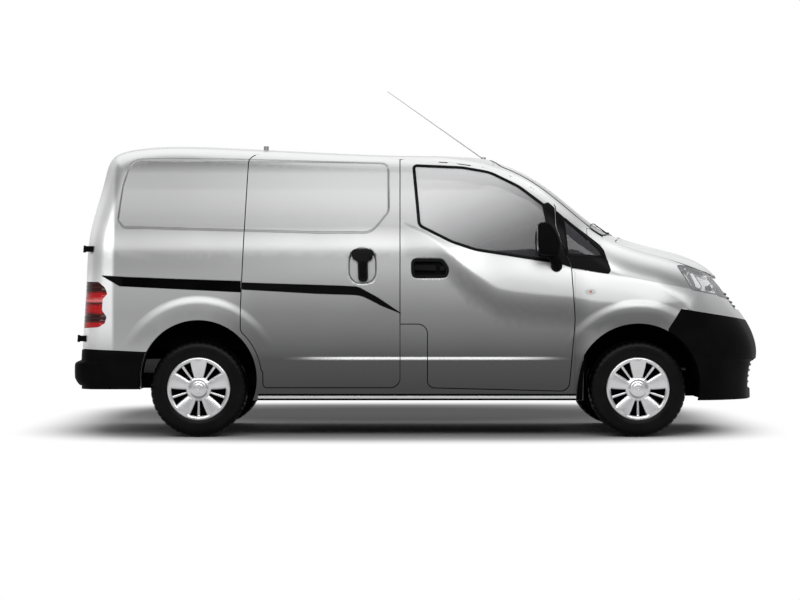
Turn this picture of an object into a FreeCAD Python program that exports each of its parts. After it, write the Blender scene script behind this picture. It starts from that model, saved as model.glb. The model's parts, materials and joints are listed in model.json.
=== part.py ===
import FreeCAD, Part
import math
import os
import re
import Sketcher
from FreeCAD import Vector

# Panel van, millimetres. Origin on the ground under the middle of the body,
# +X to the front of the vehicle, +Y to its left side, +Z up.

document = FreeCAD.newDocument("PanelVan")
sheet = document.addObject("Spreadsheet::Sheet", "Sizes")

SIZES = {
    # Running gear
    "front_axle_x": 1354, "rear_axle_x": -1371, "half_track": 738,
    "tyre_radius": 300, "tyre_width": 175, "rim_radius": 186, "cover_radius": 196,
    # Body ends and heights
    "nose_x": 2194, "tail_x": -2145, "sill_bottom_z": 228, "roof_z": 1837,
    # Centre profile of the front: bumper, nose, bonnet and windscreen
    "bumper_z": 505, "bumper_base_setback": 24,
    "nose_mid_x": 2122, "nose_mid_z": 733, "nose_top_x": 2023, "nose_top_z": 871,
    "nose_edge_x": 1945, "nose_edge_z": 976, "bonnet_front_x": 1846, "bonnet_front_z": 1067,
    "bonnet_mid_x": 1518, "bonnet_mid_z": 1186, "screen_base_x": 1262, "screen_base_z": 1268,
    "screen_mid_x": 862, "screen_mid_z": 1566, "screen_top_x": 455, "screen_top_z": 1763,
    # Centre profile of the roof and the back
    "roof_front_x": 130, "roof_front_drop": 56, "roof_peak_x": -1350,
    "roof_rear_x": -1790, "roof_rear_drop": 15, "tail_top_x": -1945, "tail_top_z": 1765,
    "tail_shoulder_x": -2007, "tail_shoulder_z": 1606, "tail_waist_x": -2095, "tail_waist_z": 1273,
    "tail_mid_x": -2119, "tail_mid_z": 960,
    # Half widths of the body at heights from the sill to the roof
    "sill_half_width": 806, "skirt_half_width": 835, "waist_half_width": 847.5,
    "belt_half_width": 830, "shoulder_half_width": 786, "rail_half_width": 712,
    "roof_half_width": 640, "skirt_z": 430, "waist_z": 760, "belt_z": 1130,
    "shoulder_z": 1360, "rail_z": 1640,
    # Bow of the surfaces across the vehicle, at 800 from the centre line, and edge radii
    "bow_reach": 800, "roof_bow": 45, "screen_bow": 110, "bonnet_bow": 95, "nose_bow": 190,
    "tail_bow": 50, "roof_edge_radius": 95, "pillar_radius": 85, "wing_radius": 150,
    "nose_corner_radius": 300, "tail_corner_radius": 110,
    # Thickness of the shells
    "wall": 60, "door_thickness": 40, "wing_thickness": 12, "bonnet_thickness": 25,
    "bumper_thickness": 32, "roof_thickness": 40, "glass_thickness": 5, "glass_depth": 5,
    "panel_gap": 6, "seal_gap": 6, "flange": 22, "seat_gap": 0.3, "press_depth": 7,
    "rail_depth": 14, "handle_depth": 24, "door_skin": 20, "door_setback": 3,
    # Shut lines and openings seen from the side
    "split_x": -122, "door_foot_z": 307, "door_head_z": 1730, "front_door_x": 961,
    "slide_door_x": -1110, "front_arch_radius": 386, "front_arch_z": 320,
    "rear_arch_radius": 362, "rear_arch_z": 365, "arch_margin": 30,
    "bonnet_half_width": 655, "roof_panel_half_width": 600, "door_inner_y": 612,
    "lamp_inner_y": 430,
    "rear_split_y": -130, "rear_door_foot_z": 560, "rear_door_head_z": 1748,
    "rear_bumper_proud": 46,
    # Floors and inner structure
    "floor_plate": 30, "load_floor_z": 575, "cab_floor_z": 395, "floor_rear_x": -2060,
    "firewall_x": 1020, "rail_inner_y": 350, "rail_width": 80, "liner_inner_y": 600,
    # Hinges, steering and lids
    "rear_hinge_y": 775,
    "kingpin_low_y": 690, "kingpin_low_z": 185,
    "kingpin_high_y": 575, "kingpin_high_z": 800, "tyre_swing": 37,
    # Wheels
    "tyre_bead_radius": 190, "hub_radius": 52, "dish_depth": 26,
    "kingpin_face": -12, "spindle_radius": 26, "opening_outer_radius": 168,
    "opening_inner_radius": 74,
    # Axles, engine and underside
    "arm_width": 44, "arm_height": 24, "strut_radius": 25, "spring_radius": 62,
    "beam_radius": 42, "beam_z": 285, "engine_x": 1500, "engine_length": 420,
    "engine_width": 640, "engine_height": 480, "engine_foot_z": 400,
    "tank_length": 620, "tank_width": 520, "tank_x": -620, "tank_foot_z": 300,
    "pipe_radius": 26, "silencer_radius": 90, "silencer_length": 480,
    # Cab
    "partition_x": -190, "partition_plate": 12, "seat_y": 385, "seat_width": 500,
    "seat_length": 490, "seat_depth": 130, "seat_x": 397, "seat_z": 720, "back_height": 600,
    "back_thickness": 110, "back_lean": 16, "headrest_height": 160, "headrest_width": 270,
    "wheel_rim_radius": 186, "wheel_rim_thickness": 15, "steering_x": 690, "steering_z": 1165,
    "steering_lean": 28, "dash_front_x": 1015, "dash_top_z": 1150, "dash_depth": 285,
    # Fittings
    "mirror_x": 790, "mirror_z": 1235, "mirror_reach": 165, "antenna_foot_x": 455,
    "antenna_length": 770, "antenna_lean": 54.8, "antenna_radius": 4,
    "fixing_radius": 16, "fixing_front_x": -966, "fixing_rear_x": -1580,
    "fixing_y": 560, "fixing_top_z": 1821, "fixing_hole_radius": 3.4,
}

for row, (alias, value) in enumerate(SIZES.items(), start=1):
    sheet.set("A%d" % row, alias.replace("_", " "))
    sheet.set("B%d" % row, str(value))
    sheet.setAlias("B%d" % row, alias)
document.recompute()


class Size:
    """Reads the value of a cell of the sheet by its alias."""

    def __getattr__(self, alias):
        return float(sheet.get(alias))


size = Size()


# Body form: a centre profile, a half width and edge radii

def profile_stations():
    """Centre profile from the front bumper's foot over the roof to the tail's foot.
    Each station is x, z, the bow across the vehicle and the edge radius there."""
    nose = (size.nose_bow, size.nose_corner_radius)
    bonnet = (size.bonnet_bow, size.wing_radius)
    screen = (size.screen_bow, size.pillar_radius)
    roof = (size.roof_bow, size.roof_edge_radius)
    tail = (size.tail_bow, size.tail_corner_radius)
    base = size.nose_x - size.bumper_base_setback
    front_z = size.roof_z - size.roof_front_drop
    rear_z = size.roof_z - size.roof_rear_drop
    return [
        (base, size.sill_bottom_z - 60, *nose),
        (base, (size.sill_bottom_z + size.bumper_z) / 2, *nose),
        (size.nose_x, size.bumper_z, *nose),
        (size.nose_mid_x, size.nose_mid_z, *nose),
        (size.nose_top_x, size.nose_top_z, *nose),
        (size.nose_edge_x, size.nose_edge_z, size.nose_bow, size.nose_corner_radius * 0.8),
        (size.bonnet_front_x, size.bonnet_front_z, 0.7 * size.nose_bow, size.wing_radius * 1.3),
        (size.bonnet_mid_x, size.bonnet_mid_z, *bonnet),
        (size.screen_base_x, size.screen_base_z, *bonnet),
        (size.screen_mid_x, size.screen_mid_z, *screen),
        (size.screen_top_x, size.screen_top_z, *screen),
        (size.roof_front_x, front_z, *roof),
        (size.roof_peak_x, size.roof_z, *roof),
        (size.roof_rear_x, rear_z, *roof),
        (size.tail_top_x, size.tail_top_z, *tail),
        (size.tail_shoulder_x, size.tail_shoulder_z, *tail),
        (size.tail_waist_x, size.tail_waist_z, *tail),
        (size.tail_mid_x, size.tail_mid_z, *tail),
        (size.tail_x, size.bumper_z, *tail),
        (size.tail_x, size.sill_bottom_z - 60, *tail),
    ]


def blend(stations, value):
    """Smooth value through stations of (place, value), flat past both ends."""
    if value <= stations[0][0]:
        return stations[0][1]
    if value >= stations[-1][0]:
        return stations[-1][1]
    slopes = []
    for (a, b), (c, d) in zip(stations, stations[1:]):
        slopes.append((d - b) / (c - a))
    tangents = [slopes[0]]
    for before, after in zip(slopes, slopes[1:]):
        tangents.append(0.0 if before * after <= 0 else 2 * before * after / (before + after))
    tangents.append(slopes[-1])
    for index, ((a, b), (c, d)) in enumerate(zip(stations, stations[1:])):
        if value <= c:
            step = c - a
            t = (value - a) / step
            rise = (1 + 2 * t) * (1 - t) ** 2 * b + t * t * (3 - 2 * t) * d
            return rise + step * (t * (1 - t) ** 2 * tangents[index]
                                  - t * t * (1 - t) * tangents[index + 1])


class BodyForm:
    """Depth of a point below the painted surface of the body."""

    def __init__(self, samples=150):
        stations = profile_stations()
        curve = Part.BSplineCurve()
        curve.interpolate([Vector(x, 0, z) for x, z, _, _ in stations])
        marks = [curve.parameter(Vector(x, 0, z)) for x, z, _, _ in stations]
        first, last = marks[0], marks[-1]
        self.points = []
        for index in range(samples + 1):
            at = first + (last - first) * index / samples
            spot = curve.value(at)
            span = max(k for k in range(len(marks) - 1) if marks[k] <= at + 1e-9)
            share = (at - marks[span]) / (marks[span + 1] - marks[span])
            bow = stations[span][2] + share * (stations[span + 1][2] - stations[span][2])
            radius = stations[span][3] + share * (stations[span + 1][3] - stations[span][3])
            self.points.append((spot.x, spot.z, bow, radius))
        self.widths = [
            (size.sill_bottom_z, size.sill_half_width), (size.skirt_z, size.skirt_half_width),
            (size.waist_z, size.waist_half_width), (size.belt_z, size.belt_half_width),
            (size.shoulder_z, size.shoulder_half_width), (size.rail_z, size.rail_half_width),
            (size.roof_z, size.roof_half_width)]
        self.near = 0

    def profile(self, x, z, near=None):
        """Depth below the centre profile, and the bow and edge radius at the nearest spot."""
        points = self.points
        if near is None:
            low, high = 0, len(points) - 1
        else:
            low, high = max(0, near - 14), min(len(points) - 1, near + 14)
        best = (1e18, 0, 0, 0)
        for index in range(low, high):
            x0, z0 = points[index][0], points[index][1]
            dx, dz = points[index + 1][0] - x0, points[index + 1][1] - z0
            share = ((x - x0) * dx + (z - z0) * dz) / (dx * dx + dz * dz)
            share = min(1.0, max(0.0, share))
            ex, ez = x - x0 - share * dx, z - z0 - share * dz
            gap = ex * ex + ez * ez
            if gap < best[0]:
                best = (gap, index, share, dx * ez - dz * ex)
        gap, index, share, side = best
        self.near = index
        bow = points[index][2] + share * (points[index + 1][2] - points[index][2])
        radius = points[index][3] + share * (points[index + 1][3] - points[index][3])
        return math.copysign(math.sqrt(gap), side), bow, radius

    def depth(self, x, y, z, near=None):
        inside, bow, radius = self.profile(x, z, near)
        over = max(0.0, radius - inside + bow * (y / size.bow_reach) ** 2)
        wide = max(0.0, radius - blend(self.widths, z) + abs(y))
        return radius - math.hypot(over, wide)

    def reach(self, start, direction, level, known=None):
        """Distance from a start inside to the depth level, along a direction."""
        x, y, z = start
        dx, dy, dz = direction
        step = 60.0
        near = 0.0 if known is None else known - 4 * step
        inside = self.depth(x + near * dx, y + near * dy, z + near * dz) - level
        while True:
            far = near + step
            value = self.depth(x + far * dx, y + far * dy, z + far * dz,
                               None if known is None else self.near) - level
            if value < 0:
                break
            near, inside = far, value
        low, low_value, high, high_value = near, inside, far, value
        middle = far
        for _ in range(30):
            share = low_value / (low_value - high_value)
            middle = low + (high - low) * min(0.9, max(0.1, share))
            value = self.depth(x + middle * dx, y + middle * dy, z + middle * dz,
                               self.near) - level
            if abs(value) < 0.01:
                break
            if value > 0:
                low, low_value = middle, value
            else:
                high, high_value = middle, value
        return middle


def meridians(form):
    """Rays that sample the body: base x, direction and angle of the top corner.
    Two more at each end cross the centre line, so that the surface meets it square."""
    rear_x, front_x = size.tail_top_x + 425, size.screen_base_x + 68
    front_fan, side_count, rear_fan, spare = 15, 38, 13, 2

    def corner_angle(x):
        top = form.reach((x, 0, size.waist_z), (0, 0, 1), 0.0) + size.waist_z
        edge = 0.5 * (size.roof_edge_radius if x < size.screen_base_x else size.wing_radius)
        half = blend(form.widths, top - edge) - edge
        return math.atan2(top - edge - size.waist_z, half)

    rays = []
    for index in range(-spare, front_fan):
        turn = math.pi / 2 * index / front_fan
        base = front_x + (size.bonnet_mid_x - front_x) * math.cos(turn)
        start = math.atan2(size.nose_edge_z - size.waist_z, size.nose_edge_x - base)
        share = (index / front_fan) ** 2
        rays.append((base, math.cos(turn), math.sin(turn),
                     start + share * (corner_angle(front_x) - start)))
    for index in range(side_count + 1):
        base = front_x + (rear_x - front_x) * index / side_count
        rays.append((base, 0.0, 1.0, corner_angle(base)))
    side = corner_angle(rear_x)
    for index in range(1, rear_fan + spare + 1):
        turn = math.pi / 2 * index / rear_fan
        base = rear_x - 90 * math.sin(turn)
        end = math.atan2(size.tail_top_z - size.waist_z, base - size.tail_top_x)
        share = ((rear_fan - index) / rear_fan) ** 2
        away = 0.0 if index == rear_fan else math.cos(turn)
        rays.append((base, -math.sin(turn), away, end + share * (side - end)))
    return rays, spare


def spline_poles(spots):
    """Poles of the even cubic spline through the spots, straight at both ends."""
    poles = [Vector(spot) for spot in spots]
    factors = [0.0]
    for index in range(1, len(spots) - 1):
        factor = 1 / (4 - factors[-1])
        factors.append(factor)
        poles[index] = (spots[index] * 6 - poles[index - 1]) * factor
    for index in range(len(spots) - 2, 0, -1):
        poles[index] = poles[index] - poles[index + 1] * factors[index]
    return ([poles[0] * 2 - poles[1]] + poles + [poles[-1] * 2 - poles[-2]])


def form_surface(form, rays, spare, level, foot, known):
    """Half surface of the body at a depth, left side, from the foot to the centre line.
    The distances found for one depth, kept in known, start the search for the next."""
    low_rows, side_rows, top_rows, crowding = 6, 16, 13, 2.2
    rows = []
    for base, dx, dy, corner in rays:
        row = []
        for index in range(-spare, low_rows):
            z = foot + (size.waist_z - foot) * index / low_rows
            far = form.reach((base, 0, z), (dx, dy, 0), level, known.get((len(rows), len(row))))
            known[len(rows), len(row)] = far
            row.append(Vector(base + far * dx, far * dy, z))
        for index in range(-side_rows, top_rows + spare + 1):
            span = corner if index < 0 else math.pi / 2 - corner
            share = index / (side_rows if index < 0 else top_rows)
            angle = corner + span * math.sinh(crowding * share) / math.sinh(crowding)
            flat, up = math.cos(angle), math.sin(angle)
            if index == top_rows:
                flat = 0.0
            far = form.reach((base, 0, size.waist_z), (flat * dx, flat * dy, up), level,
                             known.get((len(rows), len(row))))
            known[len(rows), len(row)] = far
            row.append(Vector(base + far * flat * dx, far * flat * dy, size.waist_z + far * up))
        rows.append(row)
    poles = [spline_poles(row) for row in rows]
    columns = [spline_poles([row[k] for row in poles]) for k in range(len(poles[0]))]
    grid = [[column[k] for column in columns] for k in range(len(columns[0]))]
    across, along = len(grid[0]), len(grid)
    surface = Part.BSplineSurface()
    surface.buildFromPolesMultsKnots(
        grid, [1] * (along + 4), [1] * (across + 4),
        [float(k - 3) for k in range(along + 4)], [float(k - 3) for k in range(across + 4)],
        False, False, 3, 3)
    surface.segment(spare, len(rows) - 1 - spare, spare, len(rows[0]) - 1 - spare)
    return surface


class BodyForms:
    """Left half of the body as solids whose painted surface lies at chosen depths."""

    def __init__(self):
        self.form = BodyForm()
        self.rays, self.spare = meridians(self.form)
        self.known = {}
        self.skins = {}
        self.made = {}

    def at(self, level):
        if level not in self.made:
            self.made[level] = self.solid(level)
        return self.made[level].copy()

    def skin(self, level):
        """Surface at a depth with its foot edge, its centre edges and the two foot corners."""
        if level not in self.skins:
            foot = size.sill_bottom_z
            surface = form_surface(self.form, self.rays, self.spare, level, foot, self.known)
            face = surface.toShape()
            low = [edge for edge in face.Edges if edge.BoundBox.ZMax < foot + 1][0]
            centre = [edge for edge in face.Edges if edge.BoundBox.ZMax >= foot + 1]
            ends = [low.valueAt(low.FirstParameter), low.valueAt(low.LastParameter)]
            ends.sort(key=lambda spot: spot.x)
            self.skins[level] = (face, low, centre, ends)
        return self.skins[level]

    def solid(self, level):
        face, low, centre, ends = self.skin(level)
        closing = Part.makeLine(ends[0], ends[1])
        floor = Part.Face(Part.Wire([low, closing]))
        middle = Part.Face(Part.Wire(Part.__sortEdges__(centre + [closing])))
        return self.sewn([face, floor, middle])

    def between(self, outer, inner):
        """Shell of the body between two depths."""
        face, low, centre, ends = self.skin(outer)
        inner_face, inner_low, inner_centre, inner_ends = self.skin(inner)
        links = [Part.makeLine(a, b) for a, b in zip(ends, inner_ends)]
        floor = Part.Face(Part.Wire(Part.__sortEdges__([low, inner_low] + links)))
        middle = Part.Face(Part.Wire(Part.__sortEdges__(centre + inner_centre + links)))
        return self.sewn([face, inner_face, floor, middle])

    def sewn(self, faces):
        shell = Part.makeShell(faces)
        shell.sewShape()
        solid = Part.makeSolid(shell)
        if solid.Volume < 0:
            solid.reverse()
        return solid


# Outlines and cutting prisms

def rounded(corners, grow=0.0):
    """Closed outline in the side view. Each corner is x, z and its rounding radius."""
    edges, ends = [], []
    count = len(corners)
    for index in range(count):
        x, z, radius = corners[index]
        spot = Vector(x, 0, z)
        before = Vector(corners[index - 1][0], 0, corners[index - 1][1]) - spot
        after = Vector(corners[(index + 1) % count][0], 0, corners[(index + 1) % count][1]) - spot
        if radius <= 0:
            ends.append((spot, spot))
            continue
        half = before.getAngle(after) / 2
        reach = min(radius / math.tan(half), 0.49 * before.Length, 0.49 * after.Length)
        radius = reach * math.tan(half)
        before.normalize()
        after.normalize()
        start, stop = spot + before * reach, spot + after * reach
        bisector = (before + after).normalize()
        middle = spot + bisector * (radius / math.sin(half) - radius)
        edges.append(Part.Arc(start, middle, stop).toShape())
        ends.append((start, stop))
    for index in range(count):
        start, stop = ends[index][1], ends[(index + 1) % count][0]
        if start.distanceToPoint(stop) > 1e-6:
            edges.append(Part.makeLine(start, stop))
    wire = Part.Wire(Part.__sortEdges__(edges))
    if grow:
        wire = wire.makeOffset2D(grow)
    return wire


def prism(corners, grow=0.0, inner=0.0, outer=1200.0):
    """Block with a side view outline, from one distance off the centre line to another."""
    wire = rounded(corners, grow)
    wire.translate(Vector(0, inner, 0))
    return Part.Face(wire).extrude(Vector(0, outer - inner, 0))


def slab(x0, x1, y0, y1, z0, z1):
    return Part.makeBox(x1 - x0, y1 - y0, z1 - z0, Vector(x0, y0, z0))


def drum(x, z, radius, inner, outer):
    """Round block across the vehicle."""
    return Part.makeCylinder(radius, outer - inner, Vector(x, inner, z), Vector(0, 1, 0))


def mirrored(shape):
    return shape.mirror(Vector(0, 0, 0), Vector(0, 1, 0))


def across(half):
    """A piece that runs over the centre line, from its left half."""
    return half.fuse(mirrored(half)).removeSplitter()


def feature(label, shape):
    """Sub-part whose shape comes from the body form."""
    item = document.addObject("Part::Feature", label)
    item.Label = label
    item.Shape = shape
    nodes.append(item)
    return item


def cells(expression):
    """Expression in the sheet's names, with the sheet put before each of them."""
    return re.sub(r"\b(%s)\b" % "|".join(SIZES), r"Sizes.\1", str(expression))


def bind(item, **sizes):
    """Ties properties of an object to expressions in the names of the sheet's cells."""
    for name, expression in sizes.items():
        item.setExpression(name.replace("__", "."), cells(expression))
    return item


def block(length, width, height, x, y, z):
    item = document.addObject("Part::Box", "Block")
    return bind(item, Length=length, Width=width, Height=height,
                Placement__Base__x=x, Placement__Base__y=y, Placement__Base__z=z)


def rod(radius, height, x, y, z, axis=(0, 0, 1), angle=0.0):
    """Cylinder from a foot point, turned by an angle about an axis."""
    item = document.addObject("Part::Cylinder", "Rod")
    item.Placement = FreeCAD.Placement(Vector(0, 0, 0), FreeCAD.Rotation(Vector(*axis), angle))
    return bind(item, Radius=radius, Height=height,
                Placement__Base__x=x, Placement__Base__y=y, Placement__Base__z=z)


def joined(items, label="Joined"):
    item = document.addObject("Part::MultiFuse", label)
    item.Shapes = items
    item.Refine = True
    return item


def without(base, tool, label="Cut"):
    item = document.addObject("Part::Cut", label)
    item.Base, item.Tool = base, tool
    return item


def within(base, limit, label="Fitted"):
    item = document.addObject("Part::Common", label)
    item.Base, item.Tool = base, limit
    return item


def node(item, label):
    item.Label = label
    nodes.append(item)
    return item


nodes = []
forms = BodyForms()
far_side = 1200.0


# Outlines in the side view

def front_door_outline():
    foot, front = size.door_foot_z, size.front_door_x
    return [
        (size.split_x, size.door_head_z + 2, 0), (size.split_x, 702, 0),
        (size.split_x + 170, 702, 60), (size.split_x + 170, foot, 45),
        (front - 36, foot - 22, 55), (front + 2, 730, 500), (front - 20, 1040, 60),
        (front - 112, 1312, 150), (front - 114, 1440, 30), (front - 250, 1546, 200),
        (front - 400, 1630, 250), (front - 560, 1682, 150), (197, 1710, 120)]


def slide_door_outline():
    rear, foot, head = size.slide_door_x, size.door_foot_z, size.door_head_z
    return [
        (size.split_x, head, 0), (size.split_x, foot, 60), (rear + 138, foot, 25),
        (rear + 138, 400, 0), (rear, 668, 20), (rear, 800, 200), (rear + 42, head + 34, 60)]


def door_window_outline():
    return [
        (-40, 1694, 20), (-5, 1312, 40), (200, 1208, 200), (345, 1160, 300), (826, 1086, 15),
        (802, 1300, 100), (776, 1440, 30), (620, 1560, 250), (440, 1650, 250), (270, 1680, 200)]


def quarter_press_outline():
    """Pressed area behind the sliding door, where a window would be."""
    return [(-1400, 1291, 0), (-1838, 1302, 10), (-1875, 1345, 30), (-1850, 1560, 300),
            (-1800, 1728, 90), (-1400, 1728, 0), (-1000, 1727, 0), (-1000, 1282, 0)]


def slide_press_outline():
    """The same pressing on the sliding door."""
    return [(-1160, 1727, 0), (-195, 1708, 50), (-192, 1400, 60), (-300, 1270, 100),
            (-620, 1270, 0), (-1160, 1284, 0)]


def rail_outline():
    """Channel of the sliding door's middle roller."""
    return [(-1964, 1001, 4), (-1500, 983, 0), (-1100, 970, 0), (-1100, 897, 0),
            (-1859, 935, 20)]


def front_handle_outline():
    return [(-50, 1104, 30), (140, 1104, 45), (178, 1050, 50), (172, 992, 30), (-46, 990, 30)]


def slide_handle_outline():
    return [(-434, 1163, 75), (-275, 1163, 75), (-275, 957, 75), (-434, 957, 75)]


def quarter_window_outline():
    return [(885, 1372, 10), (1037, 1238, 200), (1117, 1165, 60), (1147, 1112, 15),
            (912, 1128, 15)]


def front_zone_outline():
    """The wing's side area, behind the door line and up to the windscreen pillar."""
    front = size.front_door_x
    return [
        (front, 0, 0), (front, 1020, 0), (front - 20, 1046, 0), (1170, 1012, 10),
        (1184, 1036, 20), (1163, 1098, 80), (1119, 1202, 0), (1157, 1269, 0), (1200, 1345, 0),
        (1900, 1345, 0), (2400, 1000, 0), (2400, 0, 0)]


def lamp_outline():
    return [(1603, 1068, 8), (1692, 912, 8), (1850, 884, 100), (2100, 822, 0), (2400, 822, 0),
            (2400, 920, 0), (1943, 978, 0), (1900, 1003, 0), (1660, 1066, 30)]


def bonnet_front_line():
    return [(1190, 900, 0), (1500, 900, 0), (1603, 1068, 0), (1660, 1066, 0), (1900, 1003, 0),
            (1943, 978, 0), (2400, 920, 0), (2400, 1500, 0), (1190, 1500, 0)]


def front_bumper_outline():
    foot = size.sill_bottom_z
    return [
        (1692, 912, 0), (1539, 672, 0), (1539, foot - 20, 0), (2400, foot - 20, 0),
        (2400, 822, 0), (2100, 822, 0), (1850, 884, 100)]


def rear_bumper_outline():
    return [
        (-1701, 529, 0), (-2088, 547, 30), (-2260, 420, 0), (-2260, 335, 0),
        (-1752, 299, 15), (-1734, 305, 15)]


def tail_lamp_outline():
    return [(-2400, 967, 0), (-1989, 963, 20), (-1950, 930, 20), (-1932, 888, 20),
            (-1962, 857, 15), (-1965, 785, 15), (-1937, 746, 15), (-1950, 705, 20),
            (-1990, 682, 30), (-2400, 655, 0)]


def rear_door_outline(inner_y):
    """Outline in the rear view as y and z, from one edge near the middle to the hinge side."""
    foot, head = size.rear_door_foot_z, size.rear_door_head_z
    hinge = size.rear_hinge_y
    return [(inner_y, foot, 25), (hinge - 30, foot, 60), (hinge - 45, 1130, 300),
            (hinge - 92, 1360, 400), (hinge - 170, 1660, 300), (hinge - 200, head, 90),
            (inner_y, head, 25)]


def rear_prism(corners, grow):
    """Block with a rear view outline, reaching forward through the back of the body."""
    block = prism(corners, grow, 0, 500)
    block.rotate(Vector(0, 0, 0), Vector(0, 0, 1), 90)
    block.translate(Vector(size.tail_x + 260, 0, 0))
    return block


gap = size.panel_gap / 2
rebate = size.door_thickness + size.seal_gap
wall_shell = forms.between(0.0, size.wall)
front_arch = drum(size.front_axle_x, size.front_arch_z, size.front_arch_radius, 430, far_side)
rear_arch = drum(size.rear_axle_x, size.rear_arch_z, size.rear_arch_radius, 430, far_side)
slide_arch = drum(size.rear_axle_x, size.rear_arch_z,
                  size.rear_arch_radius + size.arch_margin - gap, 430, far_side)


def opening(block_of):
    """Door opening: the whole door's depth, and a smaller one inside its seal flange."""
    return block_of(gap).cut(forms.at(rebate)).fuse(block_of(-size.flange))


def pocket(outline, depth):
    """Block that presses an outline into the side of the body down to a depth."""
    return prism(outline, 0, size.door_inner_y).cut(forms.at(depth))


def front_door_block(grow):
    return prism(front_door_outline(), grow, size.door_inner_y - grow)


def slide_door_block(grow):
    block = prism(slide_door_outline(), grow, size.door_inner_y - grow)
    return block.cut(drum(size.rear_axle_x, size.rear_arch_z,
                          size.rear_arch_radius + size.arch_margin - grow, 300, far_side))


def rear_door_left_block(grow):
    return rear_prism(rear_door_outline(size.rear_split_y), grow)


def rear_door_right_block(grow):
    return mirrored(rear_prism(rear_door_outline(-size.rear_split_y), grow))


def plan_prism(corners, grow, low, high):
    """Block with an outline seen from above, between two heights."""
    block = Part.Face(rounded(corners, grow)).extrude(Vector(0, high - low, 0))
    block.rotate(Vector(0, 0, 0), Vector(1, 0, 0), -90)
    block.translate(Vector(0, 0, high))
    return block


def screen_outline():
    base, top = size.screen_base_x, size.screen_top_x
    return [(base - 20, -50, 0), (base - 28, 300, 300), (base - 120, 690, 60),
            (size.screen_mid_x, 640, 600), (top + 60, 566, 60), (top + 10, 300, 400),
            (top + 8, -50, 0)]


def roof_outline():
    return [(size.screen_top_x + 14, 1500, 0), (size.screen_top_x + 14, 1900, 0),
            (-2400, 1900, 0), (-2400, size.rear_door_head_z, 0), (-1850, size.rear_door_head_z, 0),
            (-1700, 1500, 0)]


def body_side():
    body = wall_shell.cut(opening(front_door_block))
    body = body.cut(opening(slide_door_block))
    body = body.cut(rear_arch)
    zone = prism(front_zone_outline(), 0, 0)
    body = body.cut(zone.cut(forms.at(size.wing_thickness + size.seat_gap)))
    body = body.cut(slab(size.front_door_x + 55, 2400, 0, far_side, 0, 1035))
    body = body.cut(plan_prism(screen_outline(), 0, 900, 2000))
    body = body.cut(slab(1040, 2400, 0, far_side, 0, 1300))
    body = body.cut(prism(roof_outline(), gap / 3, 0, size.roof_panel_half_width + gap / 3))
    body = body.cut(prism(rear_bumper_outline(), gap / 3).cut(forms.at(rebate)))
    rear_opening = rear_door_left_block(gap).cut(forms.at(rebate))
    body = body.cut(rear_opening.common(slab(-3000, -1800, 0, 1200, 0, 3000)))
    body = body.cut(rear_door_left_block(-size.flange))
    body = body.cut(prism(quarter_window_outline()))
    body = body.cut(slab(-3000, size.rear_axle_x, 0, far_side, 0, 300))
    body = body.cut(prism(tail_lamp_outline(), 0, size.rear_hinge_y - 28).cut(forms.at(rebate)))
    body = body.cut(pocket(quarter_press_outline(), size.press_depth))
    body = body.cut(pocket(rail_outline(), size.rail_depth))
    return max(body.Solids, key=lambda solid: solid.Volume)


left_body = body_side()
feature("body_side_left", left_body)
feature("body_side_right", mirrored(left_body))


# Doors with their glass

door_shell = forms.between(0.0, size.door_thickness)
left_door = door_shell.common(front_door_block(-gap)).cut(prism(door_window_outline()))
left_door = left_door.cut(pocket(front_handle_outline(), size.handle_depth))
# Behind its skin the door's rim is set back, so that it swings past the pillar.
door_rim = front_door_block(-gap).cut(front_door_block(-gap - size.door_setback))
left_door = left_door.cut(door_rim.common(forms.at(size.door_skin)))
feature("front_door_left", left_door)
feature("front_door_right", mirrored(left_door))

glass_shell = forms.between(size.glass_depth, size.glass_depth + size.glass_thickness)
left_glass = glass_shell.common(prism(door_window_outline(), -size.seat_gap, 300))
feature("door_glass_left", left_glass)
feature("door_glass_right", mirrored(left_glass))

quarter = glass_shell.common(prism(quarter_window_outline(), -size.seat_gap, 300))
feature("quarter_glasses", Part.makeCompound([quarter, mirrored(quarter)]))

left_slide = door_shell.common(slide_door_block(-gap))
left_slide = left_slide.cut(pocket(slide_press_outline(), size.press_depth))
left_slide = left_slide.cut(pocket(slide_handle_outline(), size.handle_depth))
feature("sliding_door_left", left_slide)
feature("sliding_door_right", mirrored(left_slide))

wide = door_shell.common(rear_door_left_block(-gap))
wide_far = mirrored(door_shell).common(rear_door_left_block(-gap))
feature("rear_door_left", wide.fuse(wide_far).removeSplitter())
narrow = mirrored(door_shell).common(rear_door_right_block(-gap))
feature("rear_door_right", narrow)


# Roof, windscreen, bonnet and front

def roof_panel():
    """Roof skin with the threaded bosses that carry a roof rack."""
    shell = forms.between(0.0, size.roof_thickness)
    panel = shell.common(prism(roof_outline(), -gap / 3, 0, size.roof_panel_half_width - gap / 3))
    panel = panel.cut(plan_prism(screen_outline(), 0, 900, 2000))
    for x in (size.fixing_front_x, size.fixing_rear_x):
        foot = size.fixing_top_z - 30
        boss = Part.makeCylinder(size.fixing_radius, 30, Vector(x, size.fixing_y, foot))
        panel = panel.fuse(boss)
    for x in (size.fixing_front_x, size.fixing_rear_x):
        foot = size.fixing_top_z - 24
        panel = panel.cut(Part.makeCylinder(size.fixing_hole_radius, 40,
                                            Vector(x, size.fixing_y, foot)))
    return panel


feature("roof_panel", across(roof_panel()))

screen = glass_shell.common(plan_prism(screen_outline(), -size.seat_gap, 900, 2000))
feature("windscreen", across(screen))


def bonnet_plan():
    back = size.screen_base_x + 32
    return [(back, -50, 0), (back - 4, 300, 300), (back - 70, size.bonnet_half_width, 30),
            (1640, size.bonnet_half_width - 2, 500), (1980, 440, 200), (2300, 200, 0),
            (2300, -50, 0)]


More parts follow.
